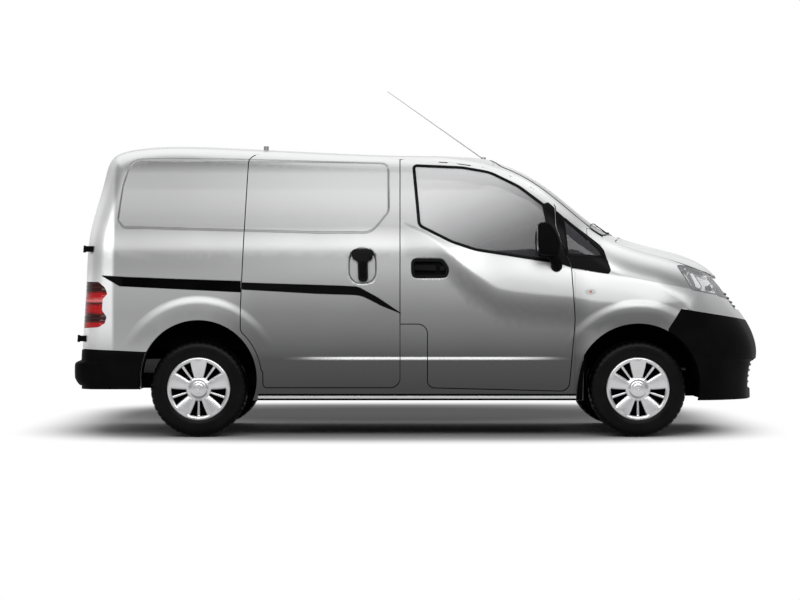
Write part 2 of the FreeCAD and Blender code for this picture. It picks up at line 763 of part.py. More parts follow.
def bonnet():
    shell = forms.between(0.0, size.bonnet_thickness)
    shell = shell.common(plan_prism(bonnet_plan(), -gap, 700, 1500))
    return shell.common(prism(bonnet_front_line(), -gap, 0))


feature("bonnet", across(bonnet()))


def cowl_panel():
    """Plenum panel between the windscreen's foot and the bonnet."""
    shell = forms.between(0.0, size.wing_thickness)
    zone = slab(1000, 1500, 0, size.bonnet_half_width + gap - size.seat_gap, 1000, 1500)
    zone = zone.cut(plan_prism(screen_outline(), gap, 900, 2000))
    zone = zone.cut(plan_prism(bonnet_plan(), gap, 700, 1500))
    piece = shell.common(zone).common(slab(1120, 1320, 0, far_side, 1000, 1500))
    return max(piece.Solids, key=lambda solid: solid.Volume)


feature("cowl_panel", across(cowl_panel()))


def wing():
    shell = forms.between(0.0, size.wing_thickness)
    shell = shell.common(prism(front_zone_outline(), -gap / 2, size.bonnet_half_width - 90))
    shell = shell.cut(slab(0, 3000, 0, size.bonnet_half_width + gap, 0, 3000))
    shell = shell.cut(prism(front_door_outline(), gap))
    shell = shell.cut(prism(front_bumper_outline(), size.seat_gap))
    shell = shell.cut(prism(lamp_outline(), gap / 2))
    shell = shell.cut(front_arch)
    return max(shell.Solids, key=lambda solid: solid.Volume)


left_wing = wing()
feature("front_wing_left", left_wing)
feature("front_wing_right", mirrored(left_wing))


def lamp_zone(grow):
    outer = slab(1500, 2400, size.lamp_inner_y, far_side, 700, 1200)
    return prism(lamp_outline(), grow).common(outer)


def headlamp():
    shell = forms.between(1.0, size.bumper_thickness)
    shell = shell.common(lamp_zone(-size.seat_gap))
    return shell.cut(prism(bonnet_front_line(), gap))


left_lamp = headlamp()
feature("headlamps", Part.makeCompound([left_lamp, mirrored(left_lamp)]))


def front_bumper():
    shell = forms.between(0.0, size.bumper_thickness)
    shell = shell.common(prism(front_bumper_outline(), 0, 0))
    shell = shell.cut(slab(1900, 2400, 0, size.lamp_inner_y, 790, 1000))
    return shell.cut(front_arch)


feature("front_bumper", across(front_bumper()))


def grille():
    shell = forms.between(6.0, size.bumper_thickness)
    seat = size.seat_gap
    zone = slab(1900, 2400, 0, size.lamp_inner_y - seat, 790 + seat, 1200)
    return shell.common(zone).cut(prism(bonnet_front_line(), gap, 0))


feature("grille", across(grille()))


def rear_bumper():
    outer = forms.at(0.0)
    outer.translate(Vector(-size.rear_bumper_proud, 0, 0))
    piece = outer.common(prism(rear_bumper_outline(), 0, 0))
    piece = piece.cut(forms.at(size.door_thickness))
    return piece.cut(rear_arch)


feature("rear_bumper", across(rear_bumper()))


# Rear door hinges: a knuckle pin in the body's corner and a leaf on each

def hinge_line(z):
    """Place of the rear hinge line at a height, behind the back of the body."""
    low_x, low_z, high_x, high_z = -2120, 606, -2083, 1168
    return low_x + (high_x - low_x) * (z - low_z) / (high_z - low_z)


def rear_hinges(side):
    pins = []
    for z in (590, 1146):
        foot, head = hinge_line(z), hinge_line(z + 44)
        pin = Part.makeCylinder(8, 44, Vector(foot, size.rear_hinge_y, z),
                                Vector(head - foot, 0, 44))
        leaf = slab(foot, foot + 60, size.rear_hinge_y - 4, size.rear_hinge_y + 26, z + 4, z + 40)
        leaf = leaf.cut(forms.at(-size.seat_gap))
        pins.append(pin.fuse(leaf))
    both = Part.makeCompound(pins)
    return both if side > 0 else mirrored(both)


feature("rear_hinges", Part.makeCompound([rear_hinges(1), rear_hinges(-1)]))


# Sketch based pieces

def plane(body, role):
    return [item for item in body.Origin.OriginFeatures if item.Role == role][0]


def profile(body, role, corners, name):
    """Closed sketch whose corners are pairs of expressions, each held by its two distances."""
    sketch = body.newObject("Sketcher::SketchObject", name)
    sketch.AttachmentSupport = (plane(body, role), [""])
    sketch.MapMode = "FlatFace"
    scratch = []
    for pair in corners:
        scratch.append([value_of(part) for part in pair])
    count = len(corners)
    for index in range(count):
        start, stop = scratch[index], scratch[(index + 1) % count]
        sketch.addGeometry(Part.LineSegment(Vector(*start, 0), Vector(*stop, 0)), False)
    for index in range(count):
        sketch.addConstraint(Sketcher.Constraint("Coincident", index, 2, (index + 1) % count, 1))
    for index, pair in enumerate(corners):
        for kind, part, value in zip(("DistanceX", "DistanceY"), pair, scratch[index]):
            place = sketch.addConstraint(Sketcher.Constraint(kind, -1, 1, index, 1, value))
            bind(sketch, **{"Constraints[%d]" % place: part})
    return sketch


def value_of(part):
    """Number behind an expression in the sheet's names."""
    return float(sheet.evalExpression(cells(part)))


def body_at(label, x, y, z, axis=(0, 0, 1), angle=0.0):
    body = document.addObject("PartDesign::Body", label)
    body.Placement = FreeCAD.Placement(Vector(0, 0, 0), FreeCAD.Rotation(Vector(*axis), angle))
    bind(body, Placement__Base__x=x, Placement__Base__y=y, Placement__Base__z=z)
    return body


def pad(body, sketch, length, both=False):
    item = body.newObject("PartDesign::Pad", "Pad")
    item.Profile = sketch
    item.Midplane = both
    bind(item, Length=length)
    return item


def spun(body, sketch, kind="PartDesign::Revolution"):
    """Full turn of a sketch about its body's X axis."""
    item = body.newObject(kind, "Turned")
    item.Profile = sketch
    item.ReferenceAxis = ([part for part in body.Origin.OriginFeatures
                           if part.Role == "X_Axis"][0], [""])
    item.Angle = 360
    return item


# Wheels. Each stands in its own body with +X along its axle, away from the vehicle.

def tyre(label, x, y, turn):
    body = body_at(label, x, y, "tyre_radius", (0, 0, 1), turn)
    edge, bead, tread = "tyre_width / 2", "tyre_bead_radius", "tyre_radius"
    section = profile(body, "XY_Plane", [
        ("-" + edge + " + 12", bead), (edge + " - 12", bead), (edge + " - 8", bead + " + 16"),
        (edge, bead + " + 52"), (edge + " - 3", tread + " - 26"), (edge + " - 16", tread + " - 5"),
        (edge + " - 40", tread), ("40 - " + edge, tread), ("16 - " + edge, tread + " - 5"),
        ("3 - " + edge, tread + " - 26"), ("-" + edge, bead + " + 52"),
        ("8 - " + edge, bead + " + 16")], "TyreSection")
    body.Tip = spun(body, section)
    return node(body, label)


def wheel(label, x, y, turn):
    """Rim, disc and the slotted cover in one, with five pairs of openings."""
    body = body_at(label, x, y, "tyre_radius", (0, 0, 1), turn)
    edge, bead = "tyre_width / 2", "tyre_bead_radius - seat_gap"
    dish = "tyre_width / 2 - dish_depth"
    section = profile(body, "XY_Plane", [
        ("kingpin_face", "0"), (dish + " + 14", "0"), (dish + " + 10", "hub_radius - 8"),
        (dish + " - 4", "hub_radius"), (dish + " - 6", "opening_inner_radius"),
        (dish + " + 12", "rim_radius - 14"), (edge + " - 7", "rim_radius"),
        (edge + " - 7", "cover_radius"), (edge + " - 10", "cover_radius"),
        (edge + " - 10", bead), ("14 - " + edge, bead), ("14 - " + edge, bead + " - 12"),
        (dish + " - 12", bead + " - 12"), (dish + " - 16", "opening_inner_radius"),
        (dish + " - 18", "hub_radius"), ("kingpin_face", "hub_radius")], "WheelSection")
    spun(body, section)
    inner, outer = "opening_inner_radius", "opening_outer_radius"
    for name, side in (("OpeningA", 1), ("OpeningB", -1)):
        shape = profile(body, "YZ_Plane", [
            ("%d * %s * 0.075" % (side, inner), "-0.99 * " + inner),
            ("%d * %s * 0.030" % (side, outer), "-0.99 * " + outer),
            ("%d * %s * 0.36" % (side, outer), "-0.93 * " + outer),
            ("%d * %s * 0.34" % (side, inner), "-1.05 * " + inner)], name)
        pocket = body.newObject("PartDesign::Pocket", "Pocket" + name)
        pocket.Profile = shape
        pocket.Type = "ThroughAll"
        pocket.Midplane = True
        pattern = body.newObject("PartDesign::PolarPattern", "Turn" + name)
        pattern.Originals = [pocket]
        pattern.Axis = ([part for part in body.Origin.OriginFeatures
                         if part.Role == "X_Axis"][0], [""])
        pattern.Angle = 360
        pattern.Occurrences = 5
        body.Tip = pattern
    return node(body, label)


CORNERS = {
    "front_left": ("front_axle_x", "half_track", 90),
    "front_right": ("front_axle_x", "-half_track", -90),
    "rear_left": ("rear_axle_x", "half_track", 90),
    "rear_right": ("rear_axle_x", "-half_track", -90),
}
for corner, (axle, side, turn) in CORNERS.items():
    tyre("tyre_" + corner, axle, side, turn)
    wheel("wheel_" + corner, axle, side, turn)


# Forms that trim what stands inside the body

def limit_form(label, level):
    item = document.addObject("Part::Feature", label)
    item.Shape = across(forms.at(level))
    return item


cabin_form = limit_form("CabinForm", size.wall + size.seat_gap)
nose_form = limit_form("NoseForm", size.bumper_thickness + 8)


# Steering knuckles with their struts, ball joints on the lower arms

def knuckle(label, side):
    y_of = "%d * (%%s)" % side
    lean = side * math.degrees(math.atan2(size.kingpin_low_y - size.kingpin_high_y,
                                          size.kingpin_high_z - size.kingpin_low_z))
    inward = 90 * side
    upright = block(2 * 28, 46, 170, "front_axle_x - 28",
                    y_of % "kingpin_low_y - 26" if side > 0 else "-(kingpin_low_y - 26) - 46",
                    "tyre_radius - 80")
    spindle = rod("spindle_radius", "half_track + kingpin_face - seat_gap - kingpin_low_y + 20",
                  "front_axle_x", y_of % "kingpin_low_y - 20", "tyre_radius", (1, 0, 0), -inward)
    ball = document.addObject("Part::Sphere", "Ball")
    bind(ball, Radius=14, Placement__Base__x="front_axle_x",
         Placement__Base__y=y_of % "kingpin_low_y", Placement__Base__z="kingpin_low_z")
    stem = rod(9, 60, "front_axle_x", y_of % "kingpin_low_y", "kingpin_low_z", (1, 0, 0), lean)
    bracket = block(44, 70, 60, "front_axle_x - 22",
                    y_of % "kingpin_low_y - 96" if side > 0 else "-(kingpin_low_y - 96) - 70",
                    "tyre_radius + 60")
    strut_foot_y, strut_foot_z = 608, 350
    strut_lean = side * math.degrees(math.atan2(strut_foot_y - size.kingpin_high_y,
                                                size.kingpin_high_z - strut_foot_z))
    strut = rod("strut_radius", 330, "front_axle_x", side * strut_foot_y, strut_foot_z,
                (1, 0, 0), strut_lean)
    piston = rod(10, 448, "front_axle_x", side * strut_foot_y, strut_foot_z, (1, 0, 0),
                 strut_lean)
    return node(joined([upright, spindle, ball, stem, bracket, strut, piston]), label)


knuckle("knuckle_left", 1)
knuckle("knuckle_right", -1)


def lower_arm(side):
    start = 330
    length = "kingpin_low_y + 22 - %d" % start
    arm = block("arm_width", length, "arm_height", "front_axle_x - arm_width / 2",
                start if side > 0 else "-(kingpin_low_y + 22)", "kingpin_low_z - arm_height / 2")
    socket = document.addObject("Part::Sphere", "Socket")
    bind(socket, Radius=14.3, Placement__Base__x="front_axle_x",
         Placement__Base__y="%d * kingpin_low_y" % side, Placement__Base__z="kingpin_low_z")
    throat = rod(14.3, 60, "front_axle_x", "%d * kingpin_low_y" % side, "kingpin_low_z")
    return without(arm, joined([socket, throat]))


node(joined([
    block(150, 850, 60, "front_axle_x - 172", -425, "kingpin_low_z - arm_height / 2"),
    lower_arm(1), lower_arm(-1),
    block(150, 70, "420 - seat_gap - kingpin_low_z - 48 + arm_height / 2", "front_axle_x - 172",
          "rail_inner_y + 5", "kingpin_low_z + 48 - arm_height / 2"),
    block(150, 70, "420 - seat_gap - kingpin_low_z - 48 + arm_height / 2", "front_axle_x - 172",
          "-rail_inner_y - 75", "kingpin_low_z + 48 - arm_height / 2"),
]), "front_subframe")


# Rear axle: twist beam, trailing arms, springs and stub axles

def rear_side(side):
    inner = 545 if side > 0 else -595
    return [
        block(470, 50, 76, "rear_axle_x - 40", inner, "beam_z - 38"),
        rod("spindle_radius", "half_track + kingpin_face - seat_gap - 560",
            "rear_axle_x", side * 560, "tyre_radius", (1, 0, 0), -90 * side),
        rod("spring_radius", "load_floor_z - floor_plate - seat_gap - beam_z", "rear_axle_x + 130",
            side * 500, "beam_z"),
    ]


node(joined([
    rod("beam_radius", 1150, "rear_axle_x + 200", -575, "beam_z", (1, 0, 0), -90),
    *rear_side(1), *rear_side(-1),
]), "rear_axle")


# Floors, rails and wheel housings

def floor_pan():
    rear_length = "partition_x - floor_rear_x"
    parts = [
        block(rear_length, 1600, "floor_plate", "floor_rear_x", -800, "load_floor_z - floor_plate"),
        block(30, 1600, "load_floor_z - cab_floor_z + floor_plate", "partition_x - 30", -800,
              "cab_floor_z - floor_plate"),
        block("firewall_x - partition_x", 1600, "floor_plate", "partition_x", -800,
              "cab_floor_z - floor_plate"),
    ]
    for side in (1, -1):
        start = "rail_inner_y" if side > 0 else "-rail_inner_y - rail_width"
        parts.append(block("firewall_x - partition_x + 30", "rail_width", 60, "partition_x - 30",
                           start, "cab_floor_z - floor_plate - 60"))
        parts.append(block(rear_length, "rail_width", 70, "floor_rear_x", start,
                           "load_floor_z - floor_plate - 70"))
        start = "seat_y - 190" if side > 0 else "-seat_y - 190"
        parts.append(block("seat_length - 60", 380, "seat_z - seat_depth - cab_floor_z - seat_gap",
                           "seat_x - seat_length / 2 + 40", start, "cab_floor_z"))
    plates = joined(parts)
    reach = "rear_arch_radius + 30"
    hollow = joined([
        rod("rear_arch_radius + 18", 300, "rear_axle_x", "liner_inner_y + 12", "rear_arch_z",
            (1, 0, 0), -90),
        rod("rear_arch_radius + 18", 300, "rear_axle_x", "-liner_inner_y - 12", "rear_arch_z",
            (1, 0, 0), 90)])
    housings = joined([
        rod(reach, 300, "rear_axle_x", "liner_inner_y", "rear_arch_z", (1, 0, 0), -90),
        rod(reach, 300, "rear_axle_x", "-liner_inner_y", "rear_arch_z", (1, 0, 0), 90)])
    above = block("2 * (rear_arch_radius + 60)", 1800, 600, "rear_axle_x - rear_arch_radius - 60",
                  -900, "load_floor_z - floor_plate")
    shells = within(housings, above)
    whole = without(joined([plates, shells]), hollow)
    return within(whole, cabin_form)


node(floor_pan(), "floor_pan")


# Bulkhead, front rails, towers, radiator and bumper beam

def front_structure():
    reach = "tyre_radius + tyre_swing"
    swings = joined([rod(reach, 300, "front_axle_x", side * 560, "tyre_radius", (1, 0, 0),
                         -90 * side) for side in (1, -1)])
    firewall = block(15, 1600, 900, "firewall_x", -800, "cab_floor_z - floor_plate")
    parts = [
        block(40, "2 * rail_inner_y", 370, 1880, "-rail_inner_y", 430),
        block(40, 1000, 90, 2000, -500, 420),
        block(20, 860, 30, 1880, -430, 800),
    ]
    for side in (1, -1):
        start = "rail_inner_y" if side > 0 else "-rail_inner_y - rail_width"
        parts.append(block("2000 - firewall_x", "rail_width", 80, "firewall_x", start, 420))
        wall = "rail_inner_y + rail_width" if side > 0 else "-rail_inner_y - rail_width - 12"
        parts.append(block(740, 12, 440, "firewall_x", wall, 420))
        tower = "rail_inner_y + rail_width" if side > 0 else "-rail_inner_y - rail_width - 250"
        parts.append(block(240, 250, 12, "front_axle_x - 120", tower,
                           "kingpin_high_z + 6.5"))
        mount = "engine_width / 2 + seat_gap" if side > 0 else "-rail_inner_y"
        parts.append(block(80, "rail_inner_y - engine_width / 2 - seat_gap", 60, "engine_x - 40",
                           mount, 430))
    buffer_form = limit_form("BufferForm", size.bonnet_thickness + size.seat_gap)
    buffers = joined([rod(9, 400, 1888, side * 400, 815) for side in (1, -1)])
    return joined([within(joined(parts), nose_form), within(buffers, buffer_form),
                   within(without(firewall, swings), cabin_form)])


node(front_structure(), "front_structure")
node(block("engine_length", "engine_width", "engine_height", "engine_x - engine_length / 2",
           "-engine_width / 2", "engine_foot_z"), "engine_block")


# Tank and exhaust under the floor

tank = body_at("fuel_tank", "tank_x", 0, "tank_foot_z")
outline = profile(tank, "XY_Plane", [
    ("-tank_length / 2", "-tank_width / 2 - 85"), ("tank_length / 2", "-tank_width / 2 - 85"),
    ("tank_length / 2", "tank_width / 2 - 85"), ("-tank_length / 2", "tank_width / 2 - 85")],
    "TankPlan")
tank.Tip = pad(tank, outline, "load_floor_z - floor_plate - seat_gap - tank_foot_z")
node(tank, "fuel_tank")
node(joined([
    rod("pipe_radius", "1120 + 380", -380, 270, 285, (0, 1, 0), 90),
    rod("silencer_radius", "silencer_length", -860, 270, 300, (0, 1, 0), 90),
    rod("pipe_radius", 230, -1085, 270, 300, (0, 1, 0), 90),
    rod(8, "load_floor_z - floor_plate - seat_gap - 300", -620, 270, 300),
    rod(8, "cab_floor_z - floor_plate - seat_gap - 285", 500, 270, 285),
]), "exhaust")


# Cab

node(within(block("partition_plate", 1600, 1500, "partition_x", -800,
                  "cab_floor_z + seat_gap"), cabin_form), "cab_partition")

dash = body_at("Dash", "dash_front_x", 0, "dash_top_z")
section = profile(dash, "XZ_Plane", [
    ("0", "0 - 480"), ("0", "0"), ("-70", "22"), ("-dash_depth + 60", "-10"),
    ("-dash_depth", "-120"), ("-dash_depth + 30", "-240"), ("-150", "-330"), ("-130", "-480")],
    "DashSection")
dash.Tip = pad(dash, section, 1600, True)
node(within(dash, cabin_form), "dashboard")


def steering_wheel():
    rim = document.addObject("Part::Torus", "Rim")
    turn = FreeCAD.Rotation(Vector(0, 1, 0), -(90 - size.steering_lean))
    rim.Placement = FreeCAD.Placement(Vector(0, 0, 0), turn)
    bind(rim, Radius1="wheel_rim_radius", Radius2="wheel_rim_thickness",
         Placement__Base__x="steering_x", Placement__Base__y="seat_y",
         Placement__Base__z="steering_z")
    lean = 90 + size.steering_lean
    hub = rod(52, 34, "steering_x", "seat_y", "steering_z", (0, 1, 0), lean)
    column = rod(24, 120, "steering_x", "seat_y", "steering_z", (0, 1, 0), lean)
    spokes = rod(11, "2 * wheel_rim_radius - 12", "steering_x + 6", "seat_y - wheel_rim_radius + 6",
                 "steering_z", (1, 0, 0), -90)
    lower = rod(11, "wheel_rim_radius - 6", "steering_x", "seat_y", "steering_z", (0, 1, 0),
                180 + size.steering_lean)
    return node(without(joined([rim, hub, column, spokes, lower]), dash), "steering_wheel")


steering_wheel()


def seat(side):
    y = "%d * seat_y" % side
    cushion = body_at("Cushion", "seat_x", y, "seat_z - seat_depth")
    plan = profile(cushion, "XY_Plane", [
        ("-seat_length / 2", "-seat_width / 2"), ("seat_length / 2", "-seat_width / 2"),
        ("seat_length / 2", "seat_width / 2"), ("-seat_length / 2", "seat_width / 2")],
        "CushionPlan")
    cushion.Tip = pad(cushion, plan, "seat_depth")
    foot_x = "seat_x - seat_length / 2 - seat_gap"
    back = body_at("Back", foot_x, y, "seat_z - 60", (0, 1, 0), -size.back_lean)
    plan = profile(back, "XY_Plane", [
        ("-back_thickness", "-seat_width / 2"), ("0", "-seat_width / 2"),
        ("0", "seat_width / 2"), ("-back_thickness", "seat_width / 2")], "BackPlan")
    back.Tip = pad(back, plan, "back_height")
    rest = body_at("Rest", foot_x, y, "seat_z - 60", (0, 1, 0), -size.back_lean)
    plan = profile(rest, "XY_Plane", [
        ("-back_thickness + 10", "-headrest_width / 2"), ("-16", "-headrest_width / 2"),
        ("-16", "headrest_width / 2"), ("-back_thickness + 10", "headrest_width / 2")],
        "RestPlan")
    rest.Tip = pad(rest, plan, "back_height + headrest_height")
    return cushion, joined([back, rest])


def compound(items, label):
    item = document.addObject("Part::Compound", label)
    item.Links = items
    return node(item, label)


seats = [seat(1), seat(-1)]
compound([cushion for cushion, _ in seats], "seat_cushions")
compound([back for _, back in seats], "seat_backs")


# Fittings

def mirror_outline():
    """Housing seen from the side, growing forward from the glass to a rounded front."""
    x, z = size.mirror_x, size.mirror_z
    return [(x - 68, z + 85, 20), (x - 8, z + 98, 40), (x + 30, z + 60, 60),
            (x + 70, z - 30, 60), (x + 58, z - 112, 20), (x - 50, z - 108, 20),
            (x - 68, z - 60, 30)]


def mirror():
    """Housing on a foot at the front corner of the door window."""
    inner = size.waist_half_width + 16
    head = prism(mirror_outline(), 0, inner, inner + size.mirror_reach)
    head = head.makeFillet(18, [edge for edge in head.Edges
                                if edge.BoundBox.YMin > inner + size.mirror_reach - 1])
    stalk = slab(size.mirror_x - 40, size.mirror_x + 45, size.belt_half_width - 40, inner + 20,
                 size.mirror_z - 112, size.mirror_z - 62)
    foot = slab(size.mirror_x - 55, size.mirror_x + 60, size.belt_half_width - 40,
                size.belt_half_width + 14, size.mirror_z - 116, size.mirror_z - 56)
    return head.fuse(stalk.fuse(foot).cut(forms.at(-size.seat_gap))).removeSplitter()


left_mirror = mirror()
feature("mirror_left", left_mirror)
feature("mirror_right", mirrored(left_mirror))


def antenna():
    rod_item = document.addObject("Part::Cone", "AntennaRod")
    turn = FreeCAD.Rotation(Vector(0, 1, 0), -size.antenna_lean)
    rod_item.Placement = FreeCAD.Placement(Vector(0, 0, 0), turn)
    foot_z = "screen_top_z + 12"
    bind(rod_item, Radius1="antenna_radius", Radius2="antenna_radius / 2",
         Height="antenna_length", Placement__Base__x="antenna_foot_x - 30", Placement__Base__z=foot_z)
    foot = rod(17, 26, "antenna_foot_x - 30", 0, "screen_top_z + 10 - 12")
    roof = limit_form("RoofForm", -size.seat_gap)
    return node(without(joined([rod_item, foot]), roof), "antenna")


antenna()

tail_lamps = forms.between(1.0, size.door_thickness).common(prism(tail_lamp_outline(), -1, 740))
tail_lamps = tail_lamps.common(slab(-2400, -1800, size.rear_hinge_y - 26, far_side, 0, 2000))
feature("tail_lamps", Part.makeCompound([tail_lamps, mirrored(tail_lamps)]))

document.recompute()
for item in document.Objects:
    if "Invalid" in item.State or "Error" in item.State:
        raise RuntimeError("object failed: " + item.Label)
os.makedirs("parts", exist_ok=True)
for item in nodes:
    shape = item.Shape
    if shape.isNull() or not shape.isValid():
        raise RuntimeError("bad shape: " + item.Label)
    shape.exportStep("parts/" + item.Label + ".step")
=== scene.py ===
import json
import math

import bmesh
import bpy
import numpy as np
from bpy.props import FloatProperty, FloatVectorProperty, IntProperty, PointerProperty
from mathutils import Matrix, Vector

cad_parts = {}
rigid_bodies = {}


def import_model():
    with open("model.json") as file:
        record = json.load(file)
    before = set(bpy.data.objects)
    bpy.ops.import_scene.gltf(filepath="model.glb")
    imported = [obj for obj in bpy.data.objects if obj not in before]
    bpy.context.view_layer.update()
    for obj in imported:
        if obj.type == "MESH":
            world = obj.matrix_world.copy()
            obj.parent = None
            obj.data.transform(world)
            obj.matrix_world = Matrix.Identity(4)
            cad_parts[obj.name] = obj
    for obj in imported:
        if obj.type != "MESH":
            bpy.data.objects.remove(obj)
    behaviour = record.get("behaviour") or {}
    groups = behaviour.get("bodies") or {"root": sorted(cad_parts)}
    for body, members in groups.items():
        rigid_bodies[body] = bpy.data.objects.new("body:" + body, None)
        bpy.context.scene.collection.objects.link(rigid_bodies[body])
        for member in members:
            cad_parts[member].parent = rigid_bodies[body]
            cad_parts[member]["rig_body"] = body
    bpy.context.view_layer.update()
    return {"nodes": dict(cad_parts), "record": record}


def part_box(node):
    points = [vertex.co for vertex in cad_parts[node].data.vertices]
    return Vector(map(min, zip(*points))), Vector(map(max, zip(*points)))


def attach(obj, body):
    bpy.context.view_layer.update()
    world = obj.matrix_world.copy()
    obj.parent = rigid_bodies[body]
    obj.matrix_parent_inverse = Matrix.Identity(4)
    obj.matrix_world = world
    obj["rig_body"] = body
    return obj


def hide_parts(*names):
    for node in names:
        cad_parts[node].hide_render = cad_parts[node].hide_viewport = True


bl_info = {
    "name": "Panel Van Studio",
    "version": (1, 0, 0),
    "blender": (4, 5, 0),
    "location": "3D View > Sidebar > Panel Van",
    "description": "Dresses the packed panel van and sets it in a pale studio",
    "category": "Object",
}

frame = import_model()
SIDES = (("left", 1.0), ("right", -1.0))
FRONT_ARCH, REAR_ARCH = (1.354, 0.320), (-1.371, 0.365)


# Smooth outer form of the body

def ease(value):
    """Smooth step from 0 to 1, flat past both ends."""
    share = np.clip(value, 0.0, 1.0)
    return share * share * (3.0 - 2.0 * share)


def bell(distance, width):
    """Smooth peak of 1 where the distance is 0."""
    return np.exp(-(distance / width) ** 2)


def unit(rows):
    """Rows of vectors, each brought to a length of 1."""
    return rows / np.linalg.norm(rows, axis=1)[:, None]


def smooth_line(places, values):
    """Function through places and values with no overshoot, straight past both ends."""
    places, values = np.asarray(places, float), np.asarray(values, float)
    slopes = np.diff(values) / np.diff(places)
    tangents = np.empty(len(places))
    tangents[0], tangents[-1] = slopes[0], slopes[-1]
    before, after = slopes[:-1], slopes[1:]
    same = before * after > 0
    tangents[1:-1] = np.where(same, 2 * before * after / np.where(same, before + after, 1.0), 0.0)

    def line(at):
        at = np.asarray(at, float)
        span = np.clip(np.searchsorted(places, at) - 1, 0, len(places) - 2)
        step = places[span + 1] - places[span]
        t = np.clip((at - places[span]) / step, 0.0, 1.0)
        rise = (1 + 2 * t) * (1 - t) ** 2 * values[span] + t * t * (3 - 2 * t) * values[span + 1]
        return rise + step * (t * (1 - t) ** 2 * tangents[span] - t * t * (1 - t) * tangents[span + 1])

    return line


def natural_curve(points, count):
    """Even samples along the natural cubic curve through the points, with the share at each."""
    points = np.asarray(points, float)
    chords = np.r_[0.0, np.cumsum(np.linalg.norm(np.diff(points, axis=0), axis=1))]
    steps = np.diff(chords)
    size = len(points)
    matrix, bending = np.zeros((size, size)), np.zeros((size, 2))
    matrix[0, 0] = matrix[-1, -1] = 1.0
    for row in range(1, size - 1):
        matrix[row, row - 1:row + 2] = steps[row - 1], 2 * (steps[row - 1] + steps[row]), steps[row]
        bending[row] = 6 * ((points[row + 1] - points[row]) / steps[row]
                            - (points[row] - points[row - 1]) / steps[row - 1])
    bend = np.linalg.solve(matrix, bending)
    at = np.linspace(0, chords[-1], count)
    span = np.clip(np.searchsorted(chords, at) - 1, 0, size - 2)
    step = steps[span][:, None]
    right = (at - chords[span])[:, None]
    left = step - right
    spots = (bend[span] * left ** 3 + bend[span + 1] * right ** 3) / (6 * step)
    spots += (points[span] / step - bend[span] * step / 6) * left
    spots += (points[span + 1] / step - bend[span + 1] * step / 6) * right
    return spots, span + right[:, 0] / step[:, 0]


